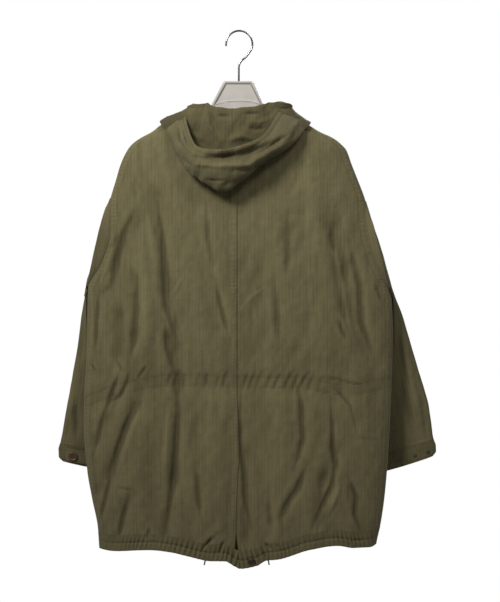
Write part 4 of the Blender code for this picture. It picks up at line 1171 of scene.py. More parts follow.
def ring_weave(grid):
    """Place on the flat cloth of each point of a tube, with one more column where it closes."""
    closed = np.concatenate((grid, grid[:, :1]), axis=1)
    around = np.linalg.norm(np.diff(closed, axis=1), axis=-1).mean(axis=0)
    down = np.linalg.norm(np.diff(grid, axis=0), axis=-1).mean(axis=1)
    return np.stack(np.broadcast_arrays(run_lengths(around)[None], -run_lengths(down)[:, None]), axis=-1)


def grid_line(grid, normals, row, ring=True):
    """The run of points along one row of a grid, which may lie between two of its rows."""
    low = min(int(row), len(grid) - 2)
    share = row - low
    points = grid[low] * (1 - share) + grid[low + 1] * share
    out = normals[low] * (1 - share) + normals[low + 1] * share
    if ring:
        points, out = np.concatenate((points, points[:1])), np.concatenate((out, out[:1]))
    return points, out


def build_sleeve(side, word):
    first, first_normals = armhole_ring(side)
    places = np.linspace(0, len(SLEEVES[side]) - 1, SLEEVE_RINGS)
    rings = table_rings(SLEEVES[side], places)
    clearance = SLEEVE_CLEARANCE * np.interp(places, *zip(*CLEARANCE_ALONG))
    near = pushed_out(rings, clearance[:, None])
    rings = np.where((clearance > 0)[:, None, None], near, rings)
    steps = np.linspace(0, 1, START_RINGS + 1)[:-1, None, None]
    start = first + (rings[0] - first) * steps
    grid = np.concatenate((start, rings))
    normals = grid_normals(grid, ring=True)
    normals = facing(normals, grid - grid.mean(axis=1, keepdims=True))
    normals[0] = first_normals
    backward = np.clip(-normals[..., 1], 0, 1)
    forward = np.clip(normals[..., 1], 0, 1)
    rows = np.arange(len(grid))[:, None]
    calm = eased(rows / 10) * eased((len(grid) - 1 - rows) / 4)
    x, z = grid[..., 0], grid[..., 2]
    relief = along_paths(SLEEVE_FOLDS, x, z) * backward
    relief = relief + along_paths(SLEEVE_FOLDS, x + side * 14, z) * forward
    lumps = soft_lumps(x + z * 0.2 * side, z, 16, 60, 71) * 1.5 + soft_lumps(x, z, 10, 22, 72) * 0.5
    relief = (relief + lumps) * calm
    grid = grid + normals * relief[..., None]
    # Painted shade in the fold troughs and painted light on their ridges, with random tone. The whole sleeve is
    # a little darker.
    tone_shift = 0.14 * soft_lumps(x, z, 26, 60, 73) + np.clip(relief / 7, -0.6, 0.5) - 0.1
    inner = grid - CLOTH * normals
    closed = np.concatenate((grid, grid[:, :1]), axis=1)
    weave = np.stack((closed[..., 0] - SLEEVE_LEAN[side] * closed[..., 2], closed[..., 2]), axis=-1)
    piece = cloth_wall("sleeve_tube_" + word, grid, inner, weave, tone_shift, True, cotton)
    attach(piece, "root")
    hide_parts("sleeve_" + word)
    return [sample_line(*grid_line(grid, normals, row)) for row in (1.6, len(grid) - 4)]


sleeve_rows = build_sleeve(LEFT, "left") + build_sleeve(RIGHT, "right")
sew("sleeve_stitches", sleeve_rows, seam_thread)


# ---- The cuffs ----
# A doubled band of the same cotton closes each sleeve. The left one ends in a strap held by a brown button,
# and the right one shows the thread tacks of the two buttons on its far side.

CUFF_CLOTH = 2.6
STRAP_CLOTH = 1.6
STRAP_LIFT = 0.6
STRAP_START, STRAP_END = 0.74, 2.35
CUFF_ROWS = 26
TOP_STITCHES, FOOT_STITCHES = 3, 22
CUFFS = {
    LEFT: (
        # outer fold across, height; inner fold across, height; outer y, inner y, half depth
        (-373, -847.5, -254, -868.5, 38, 60, 18.4),
        (-376, -860, -257, -881, 38, 60, 19.0),
        (-375, -874, -263, -896, 38, 60, 19.0),
        (-367, -884, -269, -906, 38, 60, 18.0),
    ),
    RIGHT: (
        (403, -838.5, 290, -870.5, 38, 60, 18.4),
        (408, -852, 291, -883, 38, 60, 19.0),
        (408, -863, 294, -897, 38, 60, 19.0),
        (402, -873, 300, -908, 38, 60, 18.0),
    ),
}
cuff_rows = []
for side, word in ((LEFT, "left"), (RIGHT, "right")):
    grid = table_rings(CUFFS[side], np.linspace(0, 3, CUFF_ROWS))
    normals = facing(grid_normals(grid, ring=True), grid - grid.mean(axis=1, keepdims=True))
    x, z = grid[..., 0], grid[..., 2]
    rows = np.arange(CUFF_ROWS)[:, None]
    relief = soft_lumps(x, z, 9, 14, 81) * 0.5
    relief = relief - 0.5 * swell(rows - FOOT_STITCHES, 1.0) - 0.5 * swell(rows - TOP_STITCHES, 1.0)
    grid = grid + normals * relief[..., None]
    # The edges are lighter with wear. The whole cuff is painted darker, as painted shade low on the coat.
    tone_shift = 0.55 * swell(CUFF_ROWS - 1 - rows, 1.6) + 0.35 * swell(rows, 1.6)
    tone_shift = tone_shift + 0.14 * soft_lumps(x, z, 14, 12, 82) - 0.85
    inner = grid - CUFF_CLOTH * normals
    cuff = cloth_wall("cuff_band_" + word, grid, inner, ring_weave(grid), tone_shift, True, cotton)
    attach(cuff, "root")
    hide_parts("cuff_" + word)
    cuff_rows += [sample_line(*grid_line(grid, normals, row)) for row in (TOP_STITCHES, FOOT_STITCHES)]


def cuff_place(side, turn, down):
    """A point on a cuff and its normal, from the angle round it and the share of its height."""
    row = np.asarray(CUFFS[side], float)
    levels = np.linspace(0, 1, len(row))
    mixed = [np.interp(down, levels, row[:, i]) for i in range(row.shape[1])]
    outer_x, outer_z, inner_x, inner_z, outer_y, inner_y, half_depth = mixed
    share = (1 - math.cos(turn)) / 2
    x = outer_x + (inner_x - outer_x) * share
    y = outer_y + (inner_y - outer_y) * share - half_depth * math.sin(turn)
    point = np.array((x, y, outer_z + (inner_z - outer_z) * share))
    width = np.array((inner_x - outer_x, inner_y - outer_y, inner_z - outer_z)) / 2
    along = width * math.sin(turn) + np.array((0, -half_depth * math.cos(turn), 0))
    down_way = np.array((-(outer_z - inner_z), 0, outer_x - inner_x)) * side
    normal = np.cross(along, down_way)
    normal = normal / np.linalg.norm(normal)
    outward = point - np.array(((outer_x + inner_x) / 2, (outer_y + inner_y) / 2, point[2]))
    return point, normal if normal @ outward > 0 else -normal


strap_turns = np.linspace(STRAP_START, STRAP_END, 48)
strap_outer, strap_inner = [], []
for down in np.linspace(0.16, 0.84, 16):
    start = 0.05 * abs(down - 0.5) / 0.34
    turns = strap_turns + start * (1 - (strap_turns - STRAP_START) / (STRAP_END - STRAP_START)) ** 3
    places = [cuff_place(LEFT, turn, down) for turn in turns]
    strap_inner.append([point + normal * STRAP_LIFT for point, normal in places])
    strap_outer.append([point + normal * (STRAP_LIFT + STRAP_CLOTH) for point, normal in places])
strap_outer, strap_inner = np.array(strap_outer), np.array(strap_inner)
strap_across = np.linalg.norm(strap_outer - strap_outer[:, :1], axis=-1)
strap_down = np.linalg.norm(strap_outer - strap_outer[:1], axis=-1)
strap_rim = np.minimum(strap_across, np.minimum(strap_down, strap_down[-1:] - strap_down))
strap_rub = 0.5 * swell(strap_rim, 2.0)
strap_weave = np.stack((strap_down, strap_across), axis=-1)
strap = cloth_wall("cuff_strap", strap_outer, strap_inner, strap_weave, strap_rub, False, cotton)
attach(strap, "root")
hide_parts("cuff_strap_left")
strap_out = facing(grid_normals(strap_outer, ring=False), strap_outer - strap_inner)
cuff_rows += [sample_line(*grid_line(strap_outer, strap_out, row, ring=False)) for row in (1.6, 13.4)]
sew("cuff_stitches", cuff_rows, seam_thread)

BUTTON_HOLE = 1.15
HOLE_OFFSET = 2.2
HOLE_DEPTH = 1.1
BAR_THREAD = 0.6
BAR_HEIGHT = 2.35
BUTTON_LIFT, STRAP_BUTTON_LIFT, TACK_LIFT = 0.6, 0.4, 0.1


def button_finish():
    """Brown button with faint darker swirls and a dull polish."""
    swirl = (160.0, 4.0, 0.6, 1.5)
    dark, light = (0.035, 0.017, 0.009), (0.125, 0.066, 0.034)
    polish = {"Roughness": 0.35, "Coat_Weight": 0.25, "Coat_Roughness": 0.3}
    return mottled_finish("brown_button_resin", swirl, dark, light, (0.2, 0.28), **polish)


brown_button = button_finish()
dark_thread = thread_finish("dark_button_thread", (0.060, 0.048, 0.030))


def ringed_solid(name, rings, finish, sharp_angle):
    """A solid through a stack of rings of points, in millimetres, with a flat cap at each end."""
    count, around = rings.shape[:2]
    faces = []
    for r in range(count - 1):
        for c in range(around):
            d = (c + 1) % around
            faces.append((r * around + c, r * around + d, (r + 1) * around + d, (r + 1) * around + c))
    faces.append(tuple(reversed(range(around))))
    faces.append(tuple(range((count - 1) * around, count * around)))
    mesh = bpy.data.meshes.new(name)
    mesh.from_pydata((rings.reshape(-1, 3) / 1000).tolist(), [], faces)
    return smooth_piece(name, mesh, finish, sharp_angle)


def ways_across(normal):
    """The two directions across what lies on a surface, from its normal."""
    side_way = np.cross(normal, (0.0, 0.0, 1.0))
    side_way = side_way / np.linalg.norm(side_way)
    return side_way, np.cross(side_way, normal)


def disc(name, heights, radii, centre, axis, finish, holes=(), around=72):
    """A turned piece from its radii and heights. Holes are sunk in its top, round their own centres."""
    axis = np.asarray(axis, float) / np.linalg.norm(axis)
    side_way, up_way = ways_across(axis)
    angle = 2 * np.pi * np.arange(around) / around
    across, up = np.outer(radii, np.cos(angle)), np.outer(radii, np.sin(angle))
    height = np.repeat(np.asarray(heights, float)[:, None], around, axis=1)
    for hole_x, hole_y, hole_radius in holes:
        off = np.hypot(across - hole_x, up - hole_y)
        sunk = HOLE_DEPTH * eased((hole_radius * 1.25 - off) / (hole_radius * 0.5))
        height = height - np.where(height > 1.2, sunk, 0)
    points = np.asarray(centre) + across[..., None] * side_way + up[..., None] * up_way
    points = points + height[..., None] * axis
    piece = ringed_solid(name, points, finish, 50)
    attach(piece, "root")
    return piece


button_radii = [0.4, 7.4, 8.4, 9.0, 9.0, 8.6, 7.8, 7.0, 6.6, 6.2]
button_radii += [6.2 - 0.3 * i for i in range(1, 20)] + [0.25]
button_heights = [0.0, 0.0, 0.3, 1.0, 2.2, 2.9, 3.2, 3.0, 2.5, 2.3] + [2.25] * 19 + [2.25]
button_holes = [(sx * HOLE_OFFSET, sz * HOLE_OFFSET, BUTTON_HOLE) for sx in (-1, 1) for sz in (-1, 1)]


def build_button(name, node, point, normal):
    button = disc(name, button_heights, button_radii, point, normal, brown_button, button_holes)
    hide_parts(node)


def thread_bars(name, point, normal):
    """Two bars of thread across a button's holes."""
    side_way, up_way = ways_across(normal)
    lines = []
    for shift in (-HOLE_OFFSET, HOLE_OFFSET):
        for lean in (-0.35, 0.35):
            place = point + side_way * (shift + lean) + normal * BAR_HEIGHT
            lines.append((place[None], up_way[None], normal[None]))
    bars = sew(name, lines, dark_thread, 2 * HOLE_OFFSET + BAR_THREAD, BAR_THREAD)


point, normal = cuff_place(LEFT, 1.10, 0.5)
button_base = point + normal * (STRAP_LIFT + STRAP_CLOTH + STRAP_BUTTON_LIFT)
build_button("left_cuff_button", "cuff_button_left", button_base, normal)
thread_bars("left_cuff_button_thread", button_base, normal)
TACK_HEIGHTS = [0.0, 0.0, 0.4, 0.9, 1.4, 1.8, 2.0]
TACK_RADII = [0.4, 3.2, 3.9, 4.0, 3.6, 2.6, 0.3]
for number, turn in enumerate((0.83, 1.36), start=1):
    point, normal = cuff_place(RIGHT, turn, 0.52)
    tack_base = point + normal * TACK_LIFT
    tack = disc(f"right_cuff_tack_{number}", TACK_HEIGHTS, TACK_RADII, tack_base, normal, dark_thread, (), 24)
    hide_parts(f"cuff_tack_right_{number}")
    point, normal = cuff_place(RIGHT, 2 * math.pi - turn, 0.52)
    button_base = point + normal * BUTTON_LIFT
    build_button(f"right_cuff_button_{number}", f"cuff_button_right_{number}", button_base, normal)
    thread_bars(f"right_cuff_button_thread_{number}", button_base, normal)


# ---- The hood ----
# Two halves joined over the crown, sewn to the neck and thrown back. Each rises from the neck seam to a roll,
# drops behind it, turns up at the lowest point and ends in the stitched rim of the face opening.

HOOD_CLEARANCE = 4.5
HOOD_SEAM_LAP = 0.5
HOOD_ROWS = 110
HOOD_COLUMNS = 120
POUCH_BULGE = np.array((0, 10.0, 0))
RIM_BULGE = np.array((0, -13.0, -6.0))
RIM_STITCHES = (0.952, 0.985)
SEAM_STITCH_COLUMN = 4
HOOD_STATIONS = {
    LEFT: (
        # share of the way round; ridge x, y, z; lower fold x, y, z; rim x, y, z
        (0.00, -4, -38, -163, -4, -68, -320, -4, -86, -244),
        (0.10, -35, -38, -162, -34, -68, -333, -36, -86, -250),
        (0.18, -56, -36, -157, -70, -65, -315, -62, -82, -249),
        (0.26, -66, -31, -151, -99, -61, -297, -84, -74, -242),
        (0.33, -78, -20, -152, -122, -54, -268, -99, -60, -215),
        (0.39, -86, -6, -154, -140, -38, -230, -107, -40, -187),
        (0.46, -88, 12, -158, -156, -6, -194, -113, -10, -164),
        (0.60, -80, 34, -176, -138, 40, -208, -102, 30, -168),
        (0.82, -48, 46, -205, -78, 58, -232, -60, 52, -192),
        (1.00, -9, 42, -218, -13, 52, -228, -11, 49, -204),
    ),
    RIGHT: (
        (0.00, -4, -38, -163, -4, -68, -320, -4, -86, -244),
        (0.10, 22, -38, -161, 26, -66, -294, 22, -84, -236),
        (0.18, 46, -34, -156, 60, -62, -270, 44, -78, -224),
        (0.26, 60, -29, -149, 92, -56, -250, 58, -68, -208),
        (0.33, 70, -19, -149, 114, -48, -230, 68, -54, -190),
        (0.39, 78, -6, -151, 132, -32, -208, 78, -36, -172),
        (0.46, 84, 12, -156, 143, -4, -190, 92, -6, -155),
        (0.60, 76, 34, -176, 128, 40, -206, 90, 30, -164),
        (0.82, 42, 46, -205, 70, 58, -232, 52, 52, -192),
        (1.00, 3, 42, -218, 7, 52, -228, 5, 49, -204),
    ),
}
HOOD_FOLDS = (
    # on the outer side: width, relief, then points across and their heights
    (8, -12.0, (-92, -264), (-70, -267), (-38, -264), (5, -260), (45, -246), (80, -228)),
    (5, 4.0, (-108, -272), (-90, -279), (-40, -284), (17, -281), (74, -248), (116, -222)),
    (4, -4.5, (22, -268), (60, -246), (104, -214)),
    (6, -3.5, (-20, -296), (30, -287), (80, -257), (120, -233)),
    (4, -5.0, (-126, -200), (-121, -226), (-110, -246)),
    (5, 4.0, (-121, -196), (-110, -232), (-92, -256)),
    (4, -3.5, (-112, -212), (-103, -238), (-94, -250)),
    (3, -2.5, (-70, -309), (-46, -313), (-22, -311)),
    (3, -2.5, (-79, -270), (-78, -296)),
    (3, -2.5, (-120, -264), (-92, -282)),
    (6, -3.0, (-40, -322), (0, -314), (50, -288)),
)
HOOD_INSIDE_FOLDS = (
    # on the inner side, seen inside the rim
    (4, -6.0, (-63, -163), (-50, -195), (-34, -230)),
    (5, 3.5, (-72, -170), (-60, -200), (-46, -225)),
    (5, 4.0, (-100, -209), (-81, -222), (-63, -230)),
    (4, -5.0, (-46, -176), (-32, -179), (-17, -180)),
    (4, -5.0, (12, -199), (33, -206), (56, -202)),
    (4, -4.0, (8, -174), (42, -174)),
    (5, 3.0, (10, -187), (40, -192), (66, -180)),
    (6, 6.0, (-31, -230), (5, -220), (36, -228)),
)


def spline(points, samples):
    """A smooth run of points through a few given ones."""
    points = np.asarray(points, float)
    lengths = run_lengths(np.linalg.norm(np.diff(points, axis=0), axis=1) ** 0.5)
    tangents = np.gradient(points, lengths, axis=0)
    places = np.linspace(0, lengths[-1], samples)
    i = np.clip(np.searchsorted(lengths, places) - 1, 0, len(points) - 2)
    step = (lengths[i + 1] - lengths[i])[:, None]
    t = ((places - lengths[i])[:, None]) / step
    return cubic(t, step, points[i], points[i + 1], tangents[i], tangents[i + 1])


def neckline(side):
    """Points and normals along the neck edge, from the back centre round to the front centre."""
    back, back_normal, _, _ = panel_sheets[side, BACK]
    front, front_normal, front_x, _ = panel_sheets[side, FRONT]
    own = side * (front_x[0] - CENTRE_X) > SEAM_GAP
    points = np.concatenate((back[0][:-1], front[0][own][::-1]))
    normals = np.concatenate((back_normal[0][:-1], front_normal[0][own][::-1]))
    points = points + np.array((0, 0, SEAM_GAP))
    lengths = run_lengths(np.linalg.norm(np.diff(points, axis=0), axis=1))
    return points, normals, lengths / lengths[-1]


def build_hood(side, word):
    curves = columns_of(HOOD_STATIONS[side])
    neck_points, neck_outs, neck_shares = neckline(side)
    shares = np.linspace(0, 1, HOOD_COLUMNS)
    necks = along_run(shares, neck_shares, neck_points)
    neck_normals = along_run(shares, neck_shares, neck_outs)
    sections = []
    for neck, share in zip(necks, shares):
        ridge = np.array([curve(share) for curve in curves[0:3]])
        fold = np.array([curve(share) for curve in curves[3:6]])
        rim = np.array([curve(share) for curve in curves[6:9]])
        pouch = 1 - eased((share - 0.36) / 0.3)
        inner_middle = ridge * 0.45 + fold * 0.55 + POUCH_BULGE * pouch
        outer_middle = fold * 0.5 + rim * 0.5 + RIM_BULGE * pouch
        sections.append(spline((neck, ridge, inner_middle, fold, outer_middle, rim), HOOD_ROWS))
    grid = np.array(sections).transpose(1, 0, 2)
    grid[1:] = pushed_out(grid[1:], HOOD_CLEARANCE)
    grid[:, 0, 0] = CENTRE_X + side * SEAM_GAP / 2
    normals = grid_normals(grid, ring=False)
    if normals[HOOD_ROWS * 3 // 4, 12, 1] > 0:
        normals = -normals
    normals[:, 0] = unit(normals[:, 0] * np.array((0.0, 1.0, 1.0)))
    normals[0] = neck_normals
    row = np.arange(HOOD_ROWS)[:, None] / (HOOD_ROWS - 1)
    x, z = grid[..., 0], grid[..., 2]
    outside = eased((row - 0.62) / 0.05) * eased((1.0 - row) / 0.06)
    inside = eased((row - 0.14) / 0.06) * eased((0.60 - row) / 0.08)
    relief = along_paths(HOOD_FOLDS, x, z) * outside - along_paths(HOOD_INSIDE_FOLDS, x, z) * inside
    lumps = soft_lumps(x - 0.6 * z, z + 0.3 * x, 13, 34, 91) * 1.8 + soft_lumps(x, z, 6, 10, 92) * 0.5
    back_facing = eased((0.55 - shares) / 0.1)[None]
    relief = relief * back_facing + lumps * eased(row / 0.08)
    rim_edge = swell(1 - row, 0.012)
    relief = relief + 1.2 * eased((row - 0.955) / 0.01) - 0.8 * swell(row - 0.95, 0.006)
    grid = grid + normals * relief[..., None]
    grid[0] = necks
    grid[:, 0, 0] = CENTRE_X - side * HOOD_SEAM_LAP
    thick = CLOTH + 1.4 * rim_edge
    # The rim is lighter with wear. The folds are painted darker in their troughs and lighter on their ridges,
    # the whole hood is darker overall, and its downturned tip gets more painted shade.
    tone_shift = 0.5 * rim_edge + np.clip(relief / 7, -0.9, 0.5) + 0.14 * soft_lumps(x, z, 20, 30, 93) - 0.6
    tone_shift = tone_shift - 0.8 * eased((0.74 - row) / 0.10) * eased((row - 0.5) / 0.05)
    # Painted shade on the hood's inner face, darker towards its lower fold.
    shaded_inside = -1.1 - 1.6 * eased((row - 0.26) / 0.16)
    around = run_lengths(np.linalg.norm(np.diff(grid, axis=1), axis=-1)[HOOD_ROWS // 2])
    down = run_lengths(np.linalg.norm(np.diff(grid, axis=0), axis=-1)[:, HOOD_COLUMNS // 5])
    weave = np.stack(np.broadcast_arrays(around[None], -down[:, None]), axis=-1)
    inner = grid - thick[..., None] * normals
    piece = cloth_wall("hood_half_" + word, grid, inner, weave, tone_shift, False, cotton, shaded_inside)
    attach(piece, "root")
    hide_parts("hood_" + word)
    lines = []
    for place in RIM_STITCHES:
        lines.append(sample_line(*grid_line(grid, normals, place * (HOOD_ROWS - 1), ring=False)))
    seam_out = normals[6:, SEAM_STITCH_COLUMN]
    lines.append(sample_line(grid[6:, SEAM_STITCH_COLUMN], seam_out))
    lines.append(sample_line(inner[6:, SEAM_STITCH_COLUMN], -seam_out))
    return piece, lines


hood_left_half, hood_rows_left = build_hood(LEFT, "left")
hood_right_half, hood_rows_right = build_hood(RIGHT, "right")
sew("hood_stitches", hood_rows_left + hood_rows_right, seam_thread)


# ---- The hem of the back ----
# A gathered tunnel runs along the back hem, with a drawcord inside it whose two ends hang just below.
# A dark snap sits on the tail, under the vent.

CASING_CLOTH = 2.4
CORD_DIAMETER = 3.0
TUNNEL_COLUMNS, TUNNEL_ROWS = 641, 30
TUNNEL_STITCH_ROW = 14.5
SNAP_HALF_HEIGHT = 1.6
SNAP_ROW = 20
SNAP_HEIGHTS = [0.0, 0.0, 0.3, 0.8, 1.5, 2.0, 2.2, 2.5, 3.0, 3.15, 3.2]
SNAP_RADII = [0.4, 6.2, 6.8, 7.0, 6.9, 6.6, 5.4, 4.6, 3.9, 2.0, 0.2]

casing_share = bunched(np.linspace(-1, 1, TUNNEL_COLUMNS))
casing_z = np.linspace(CASING_TOP, HEM_LEVEL, TUNNEL_ROWS)[:, None]
left_reach = CENTRE_X - outer_place(LEFT, BACK, casing_z)
right_reach = outer_place(RIGHT, BACK, casing_z) - CENTRE_X
casing_x = CENTRE_X + np.where(casing_share < 0, left_reach * casing_share, right_reach * casing_share)
casing_z = np.broadcast_to(casing_z, casing_x.shape)
casing_halves = [back_line(side, casing_x, casing_z) for side in (LEFT, RIGHT)]
on_left = (casing_x < CENTRE_X)[..., None]
casing_outer = np.where(on_left, casing_halves[0][0], casing_halves[1][0])
casing_normal = np.where(on_left, casing_halves[0][1], casing_halves[1][1])
casing_up = casing_z - HEM_LEVEL
casing_thick = CLOTH + (CASING_CLOTH - CLOTH) * eased((CASING_TOP - casing_z) / 10)
casing_inner = casing_outer - casing_thick[..., None] * casing_normal
# Lighter along the hem's edge with wear, with painted shade in the gathers' troughs and painted light on their
# crests. The whole tunnel is darker overall.
casing_wear_and_shade = 0.4 * swell(casing_up, 2.5) + 0.25 * hem_gathers(casing_x, casing_up) - 0.5
casing_weave = np.stack((casing_x, casing_z), axis=-1)
casing = cloth_wall("hem_tunnel", casing_outer, casing_inner, casing_weave, casing_wear_and_shade, False, cotton)
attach(casing, "root")
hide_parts("hem_casing")
casing_normals = facing(grid_normals(casing_outer, ring=False), casing_outer - casing_inner)
casing_line = grid_line(casing_outer, casing_normals, TUNNEL_STITCH_ROW, ring=False)
sew("hem_stitches", [sample_line(*casing_line)], seam_thread)


def snap_finish():
    """Dark lacquered metal, rubbed in spots."""
    tones = ((0.020, 0.016, 0.012), (0.080, 0.066, 0.048))
    return mottled_finish("dark_lacquered_snap", (420.0, 3.0), *tones, (0.3, 0.28), Metallic=0.6, Roughness=0.4)


snap_low, snap_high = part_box("hem_snap")
snap_centre = np.array((snap_low + snap_high) / 2) * 1000
snap_normal = casing_normal[SNAP_ROW, int(np.argmin(np.abs(casing_x[SNAP_ROW] - snap_centre[0])))]
snap_base = snap_centre - snap_normal * SNAP_HALF_HEIGHT
snap = disc("tail_snap", SNAP_HEIGHTS, SNAP_RADII, snap_base, snap_normal, snap_finish(), (), 40)
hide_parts("hem_snap")


# ---- The pocket flaps and front buttons ----
# Plain flaps of the same cotton lie on the fronts at the hips, stitched all round just inside their rim.
# Six four-hole buttons run down the left front's lap.

FLAP_MIDDLE = 142.0
FLAP_WIDTH = 150.0
FLAP_TOP, FLAP_FOOT = -764.0, -836.0
FLAP_LIFT = 1.9
FLAP_COLUMNS, FLAP_ROWS = 61, 31
FLAP_STITCH_INSET = 2
BUTTON_LEVELS = (-270, -400, -530, -660, -790, -920)
flap_rows = []
for side, word in ((LEFT, "left"), (RIGHT, "right")):
    across = CENTRE_X + side * (FLAP_MIDDLE + FLAP_WIDTH / 2 * np.linspace(-1, 1, FLAP_COLUMNS))
    levels = np.linspace(FLAP_TOP, FLAP_FOOT, FLAP_ROWS)
    x, z = np.meshgrid(across, levels)
    base, out = front_points(side, x, z)
    from_end = FLAP_WIDTH / 2 - np.abs(x - CENTRE_X - side * FLAP_MIDDLE)
    edge = np.minimum(from_end, np.minimum(FLAP_TOP - z, z - FLAP_FOOT))
    puff = 0.5 * eased(edge / 6) - 0.5 * swell(edge - 5, 1.5)
    outer = base + out * (FLAP_LIFT + CLOTH + puff)[..., None]
    tone_shift = 0.5 * swell(edge, 2)
    weave = np.stack((x, z), axis=-1)
    flap = cloth_wall("hip_flap_" + word, outer, base + out * FLAP_LIFT, weave, tone_shift, False, cotton)
    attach(flap, "root")
    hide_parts("pocket_flap_" + word)
    for row in (FLAP_STITCH_INSET, FLAP_ROWS - 1 - FLAP_STITCH_INSET):
        flap_rows.append(sample_line(outer[row], out[row], 4))
    for column in (FLAP_STITCH_INSET, FLAP_COLUMNS - 1 - FLAP_STITCH_INSET):
        flap_rows.append(sample_line(outer[:, column], out[:, column], 4))
sew("flap_stitches", flap_rows, seam_thread)
for number, level in enumerate(BUTTON_LEVELS, start=1):
    point, normal = front_points(LEFT, np.array([CENTRE_X]), np.array([float(level)]))
    button_base = point[0] + normal[0] * BUTTON_LIFT
    build_button(f"lap_button_{number}", f"front_button_{number}", button_base, normal[0])
    thread_bars(f"lap_button_thread_{number}", button_base, normal[0])


# ---- The hanger ----
# A moulded coat hanger of pale grey plastic: a tall neck block with a raised rim round a sunk face, over two
# arms. Its swivel hook is bent from bright steel wire and pushed into the top of the block.

HANGER_CLEARANCE = 1.8
FACE_STEPS = 60
BLOCK_MIDDLE, BLOCK_TOP = -1.0, -101.0
BLOCK_HALVES = (29, 27)
BLOCK_SLOPES = (0.55, 0.50)
RIM_WIDTH = 5.5
FACE_TOP, FACE_FOOT = -106.0, -151.0
FACE_ARCH, ARCH_HALF = 8, 50
FACE_SINK = 2.0
HOOK_TURN, HOOK_STEPS = 1.22 * math.pi, 48
ARM_START = 74.0
HOOK_RADIUS = 27.0
HOOK_WIRE = 4.0
HOOK_SEAT = 12.0
HANGER_SECTIONS = (
    # across, top, bottom, half thickness
    (-222, -262, -284, 3.0),
    (-219, -240, -286, 6.0),
    (-205, -215, -276, 7.0),
    (-170, -195, -256, 7.0),
    (-130, -172, -236, 7.0),
    (-100, -160, -222, 7.0),
    (-75, -158, -214, 7.0),
    (-60, -154, -210, 6.5),
    (-46, -128, -206, 6.5),
    (-33, -103, -204, 6.0),
    (-30, -101, -204, 6.0),
    (-1, -101, -202, 6.0),
    (26, -101, -204, 6.0),
    (29, -103, -204, 6.0),
    (40, -128, -206, 6.5),
    (52, -154, -210, 6.5),
    (68, -158, -214, 7.0),
    (92, -160, -222, 7.0),
    (120, -172, -236, 7.0),
    (160, -195, -256, 7.0),
    (195, -215, -276, 7.0),
    (209, -240, -286, 6.0),
    (212, -262, -284, 3.0),
)


def plastic_finish():
    """Pale grey moulded plastic, finely grained and a little scuffed, with painted shade in dark lines round
    its sunk face.
    """
    finish, tree, shader = new_finish("grey_hanger_plastic", Roughness=0.38)
    place = object_place(tree)
    scuff = noise(tree, place, 26.0, 4.0, 0.6)
    grain = noise(tree, place, 900.0, 2.0)
    # Painted shade: dark lines where the sunk face meets the raised rim.
    painted_groove_shade = add_node(tree, "ShaderNodeAttribute", {"attribute_name": "painted_groove_shade"}).outputs["Fac"]
    face = between(tree, scuff, (0.39, 0.372, 0.345), (0.52, 0.494, 0.463))
    tones = {0: painted_groove_shade, 6: face, 7: (0.14, 0.12, 0.10, 1.0)}
    lined = add_node(tree, "ShaderNodeMix", {"data_type": "RGBA"}, tones)
    tree.links.new(lined.outputs[2], shader.inputs["Base Color"])
    tree.links.new((scuff * 0.25 + 0.26).socket, shader.inputs["Roughness"])
    tree.links.new(raised(tree, grain, 0.0002, 0.3), shader.inputs["Normal"])
    return finish


def steel_finish():
    """Bright drawn steel wire with faint marks."""
    dark, light = (0.20, 0.20, 0.20), (0.36, 0.355, 0.35)
    marks = (240.0, 3.0)
    return mottled_finish("bright_steel_wire", marks, dark, light, (0.15, 0.14), Metallic=1.0, Roughness=0.22)


def roof_height(x, y):
    """Highest level under the cloth, at places across the shoulder."""
    low, high = np.full(x.shape, -420.0), np.full(x.shape, -120.0)
    for _ in range(40):
        middle = (low + high) / 2
        distance, _ = closeness(np.stack((x, y, middle), axis=-1))
        inside = distance < -(CLOTH + HANGER_CLEARANCE)
        low, high = np.where(inside, middle, low), np.where(inside, high, middle)
    return low


def round_piece(name, route, thickness, smoothness, finish):
    """A round wire or cord along a run of points, all in metres."""
    curve = bpy.data.curves.new(name, "CURVE")
    curve.dimensions = "3D"
    curve.bevel_depth = thickness / 2
    curve.bevel_resolution = smoothness
    curve.use_fill_caps = True
    line = curve.splines.new("POLY")
    line.points.add(len(route) - 1)
    for spot, place in zip(line.points, route):
        spot.co = (*place, 1.0)
    piece = plain_mesh(placed(name + "_line", curve), name)
    piece.data.materials.clear()
    piece.data.materials.append(finish)
    piece.data.shade_smooth()
    return piece


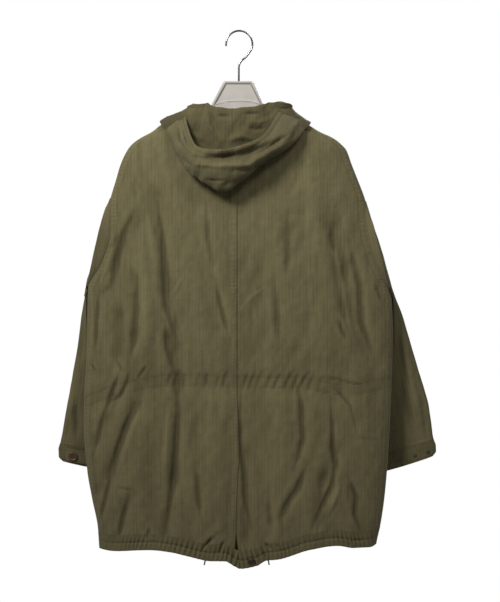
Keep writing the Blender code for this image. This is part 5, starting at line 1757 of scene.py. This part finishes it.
hanger_table = np.asarray(HANGER_SECTIONS, float)
even_x, block_x = np.linspace(-222, 212, 260), np.linspace(-62, 54, 117)
station_x = np.unique(np.concatenate((even_x, hanger_table[:, 0], block_x)))
hanger_columns = [np.interp(station_x, hanger_table[:, 0], hanger_table[:, i]) for i in (1, 2, 3)]
rings, painted_groove_shades = [], []
for x, top, bottom, thick in zip(station_x, *hanger_columns):
    share = np.linspace(-1, 1, FACE_STEPS)
    crown = np.sign(share) * np.abs(share) ** 0.75
    z = (top + bottom) / 2 + (top - bottom) / 2 * crown
    corner = np.minimum(1.0, ((1 - np.abs(crown)) * (top - bottom) / 2 / 4.0))
    y = thick * np.sqrt(np.maximum(0.0, 1 - (1 - corner) ** 2))
    from_left = x - (BLOCK_MIDDLE - (BLOCK_HALVES[0] + (BLOCK_TOP - z) * BLOCK_SLOPES[0]))
    from_right = BLOCK_MIDDLE + (BLOCK_HALVES[1] + (BLOCK_TOP - z) * BLOCK_SLOPES[1]) - x
    inside = np.minimum(np.minimum(from_left, from_right) - RIM_WIDTH, FACE_TOP - z)
    arc = FACE_FOOT + FACE_ARCH * (1 - ((x - BLOCK_MIDDLE) / ARCH_HALF) ** 2)
    inside = np.minimum(inside, z - arc)
    y = np.maximum(y - FACE_SINK * eased(inside / 2.5), 0.02)
    # Painted shade along the step round the sunk face, stored for the plastic's colour.
    line = 0.85 * swell(inside, 1.4)
    painted_groove_shades.append(np.concatenate((line, line[::-1])))
    front = np.stack((np.full_like(z, x), y, z), axis=-1)
    back = np.stack((np.full_like(z, x), -y, z), axis=-1)[::-1]
    ring = np.concatenate((front, back))
    if abs(x - CENTRE_X) > ARM_START:
        ring[:, 2] = np.minimum(ring[:, 2], roof_height(ring[:, 0], ring[:, 1]))
    rings.append(ring)
hanger = ringed_solid("moulded_hanger", np.array(rings), plastic_finish(), 45)
groove_shade = hanger.data.attributes.new("painted_groove_shade", "FLOAT", "POINT")
groove_shade.data.foreach_set("value", np.concatenate(painted_groove_shades).astype(np.float32))
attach(hanger, "root")
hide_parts("hanger_body")

hook_centre = HOOK_WIRE / 2 - HOOK_RADIUS
hook_route = [(-HOOK_RADIUS - 0.5, 0.0, hook_centre - 4.0)]
for i in range(HOOK_STEPS + 1):
    angle = math.pi - HOOK_TURN * i / HOOK_STEPS
    hook_route.append((HOOK_RADIUS * math.cos(angle), 0.0, hook_centre + HOOK_RADIUS * math.sin(angle)))
shank = ((13.0, 0, -52.5), (5.5, 0, -58.5), (1.0, 0, -64.5), (-1.0, 0, -72.0))
hook_route.extend(tuple(point) for point in spline((hook_route[-1], *shank), 28)[1:])
hook_route.append((BLOCK_MIDDLE, 0, BLOCK_TOP - HOOK_SEAT))
hook = round_piece("steel_hook", np.asarray(hook_route) / 1000, HOOK_WIRE / 1000, 6, steel_finish())
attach(hook, "root")
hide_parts("hanger_hook")


# ---- The drawcord ends ----
# Round braided dark cord, threaded through the hem tunnel to draw it in.
# Its two cut ends leave the tunnel's lower edge and hang about a centimetre below it.

braid = (700.0, 2.0)
cord_tones = ((0.030, 0.025, 0.018), (0.085, 0.072, 0.050))
cord_finish = mottled_finish("dark_braided_cord", braid, *cord_tones, relief=(0.0004, 0.8), Roughness=0.85)
for number, lean in ((1, -1), (2, 1)):
    low, high = (np.array(corner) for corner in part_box(f"hem_cord_tip_{number}"))
    radius = CORD_DIAMETER / 2000
    free_x = low[0] + radius if lean < 0 else high[0] - radius
    exit_x = high[0] - radius if lean < 0 else low[0] + radius
    share = np.linspace(0, 1, 24)
    sway = 0.0006 * np.sin(share * math.pi * 1.6)
    run_x = exit_x + (free_x - exit_x) * share + sway
    run_y = np.full_like(share, (low[1] + high[1]) / 2)
    run_z = high[2] + (low[2] - high[2]) * share
    run = np.stack((run_x, run_y, run_z), axis=-1)
    cord_end = round_piece(f"drawcord_end_{number}", run, CORD_DIAMETER / 1000, 5, cord_finish)
    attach(cord_end, "root")
    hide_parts(f"hem_cord_tip_{number}")
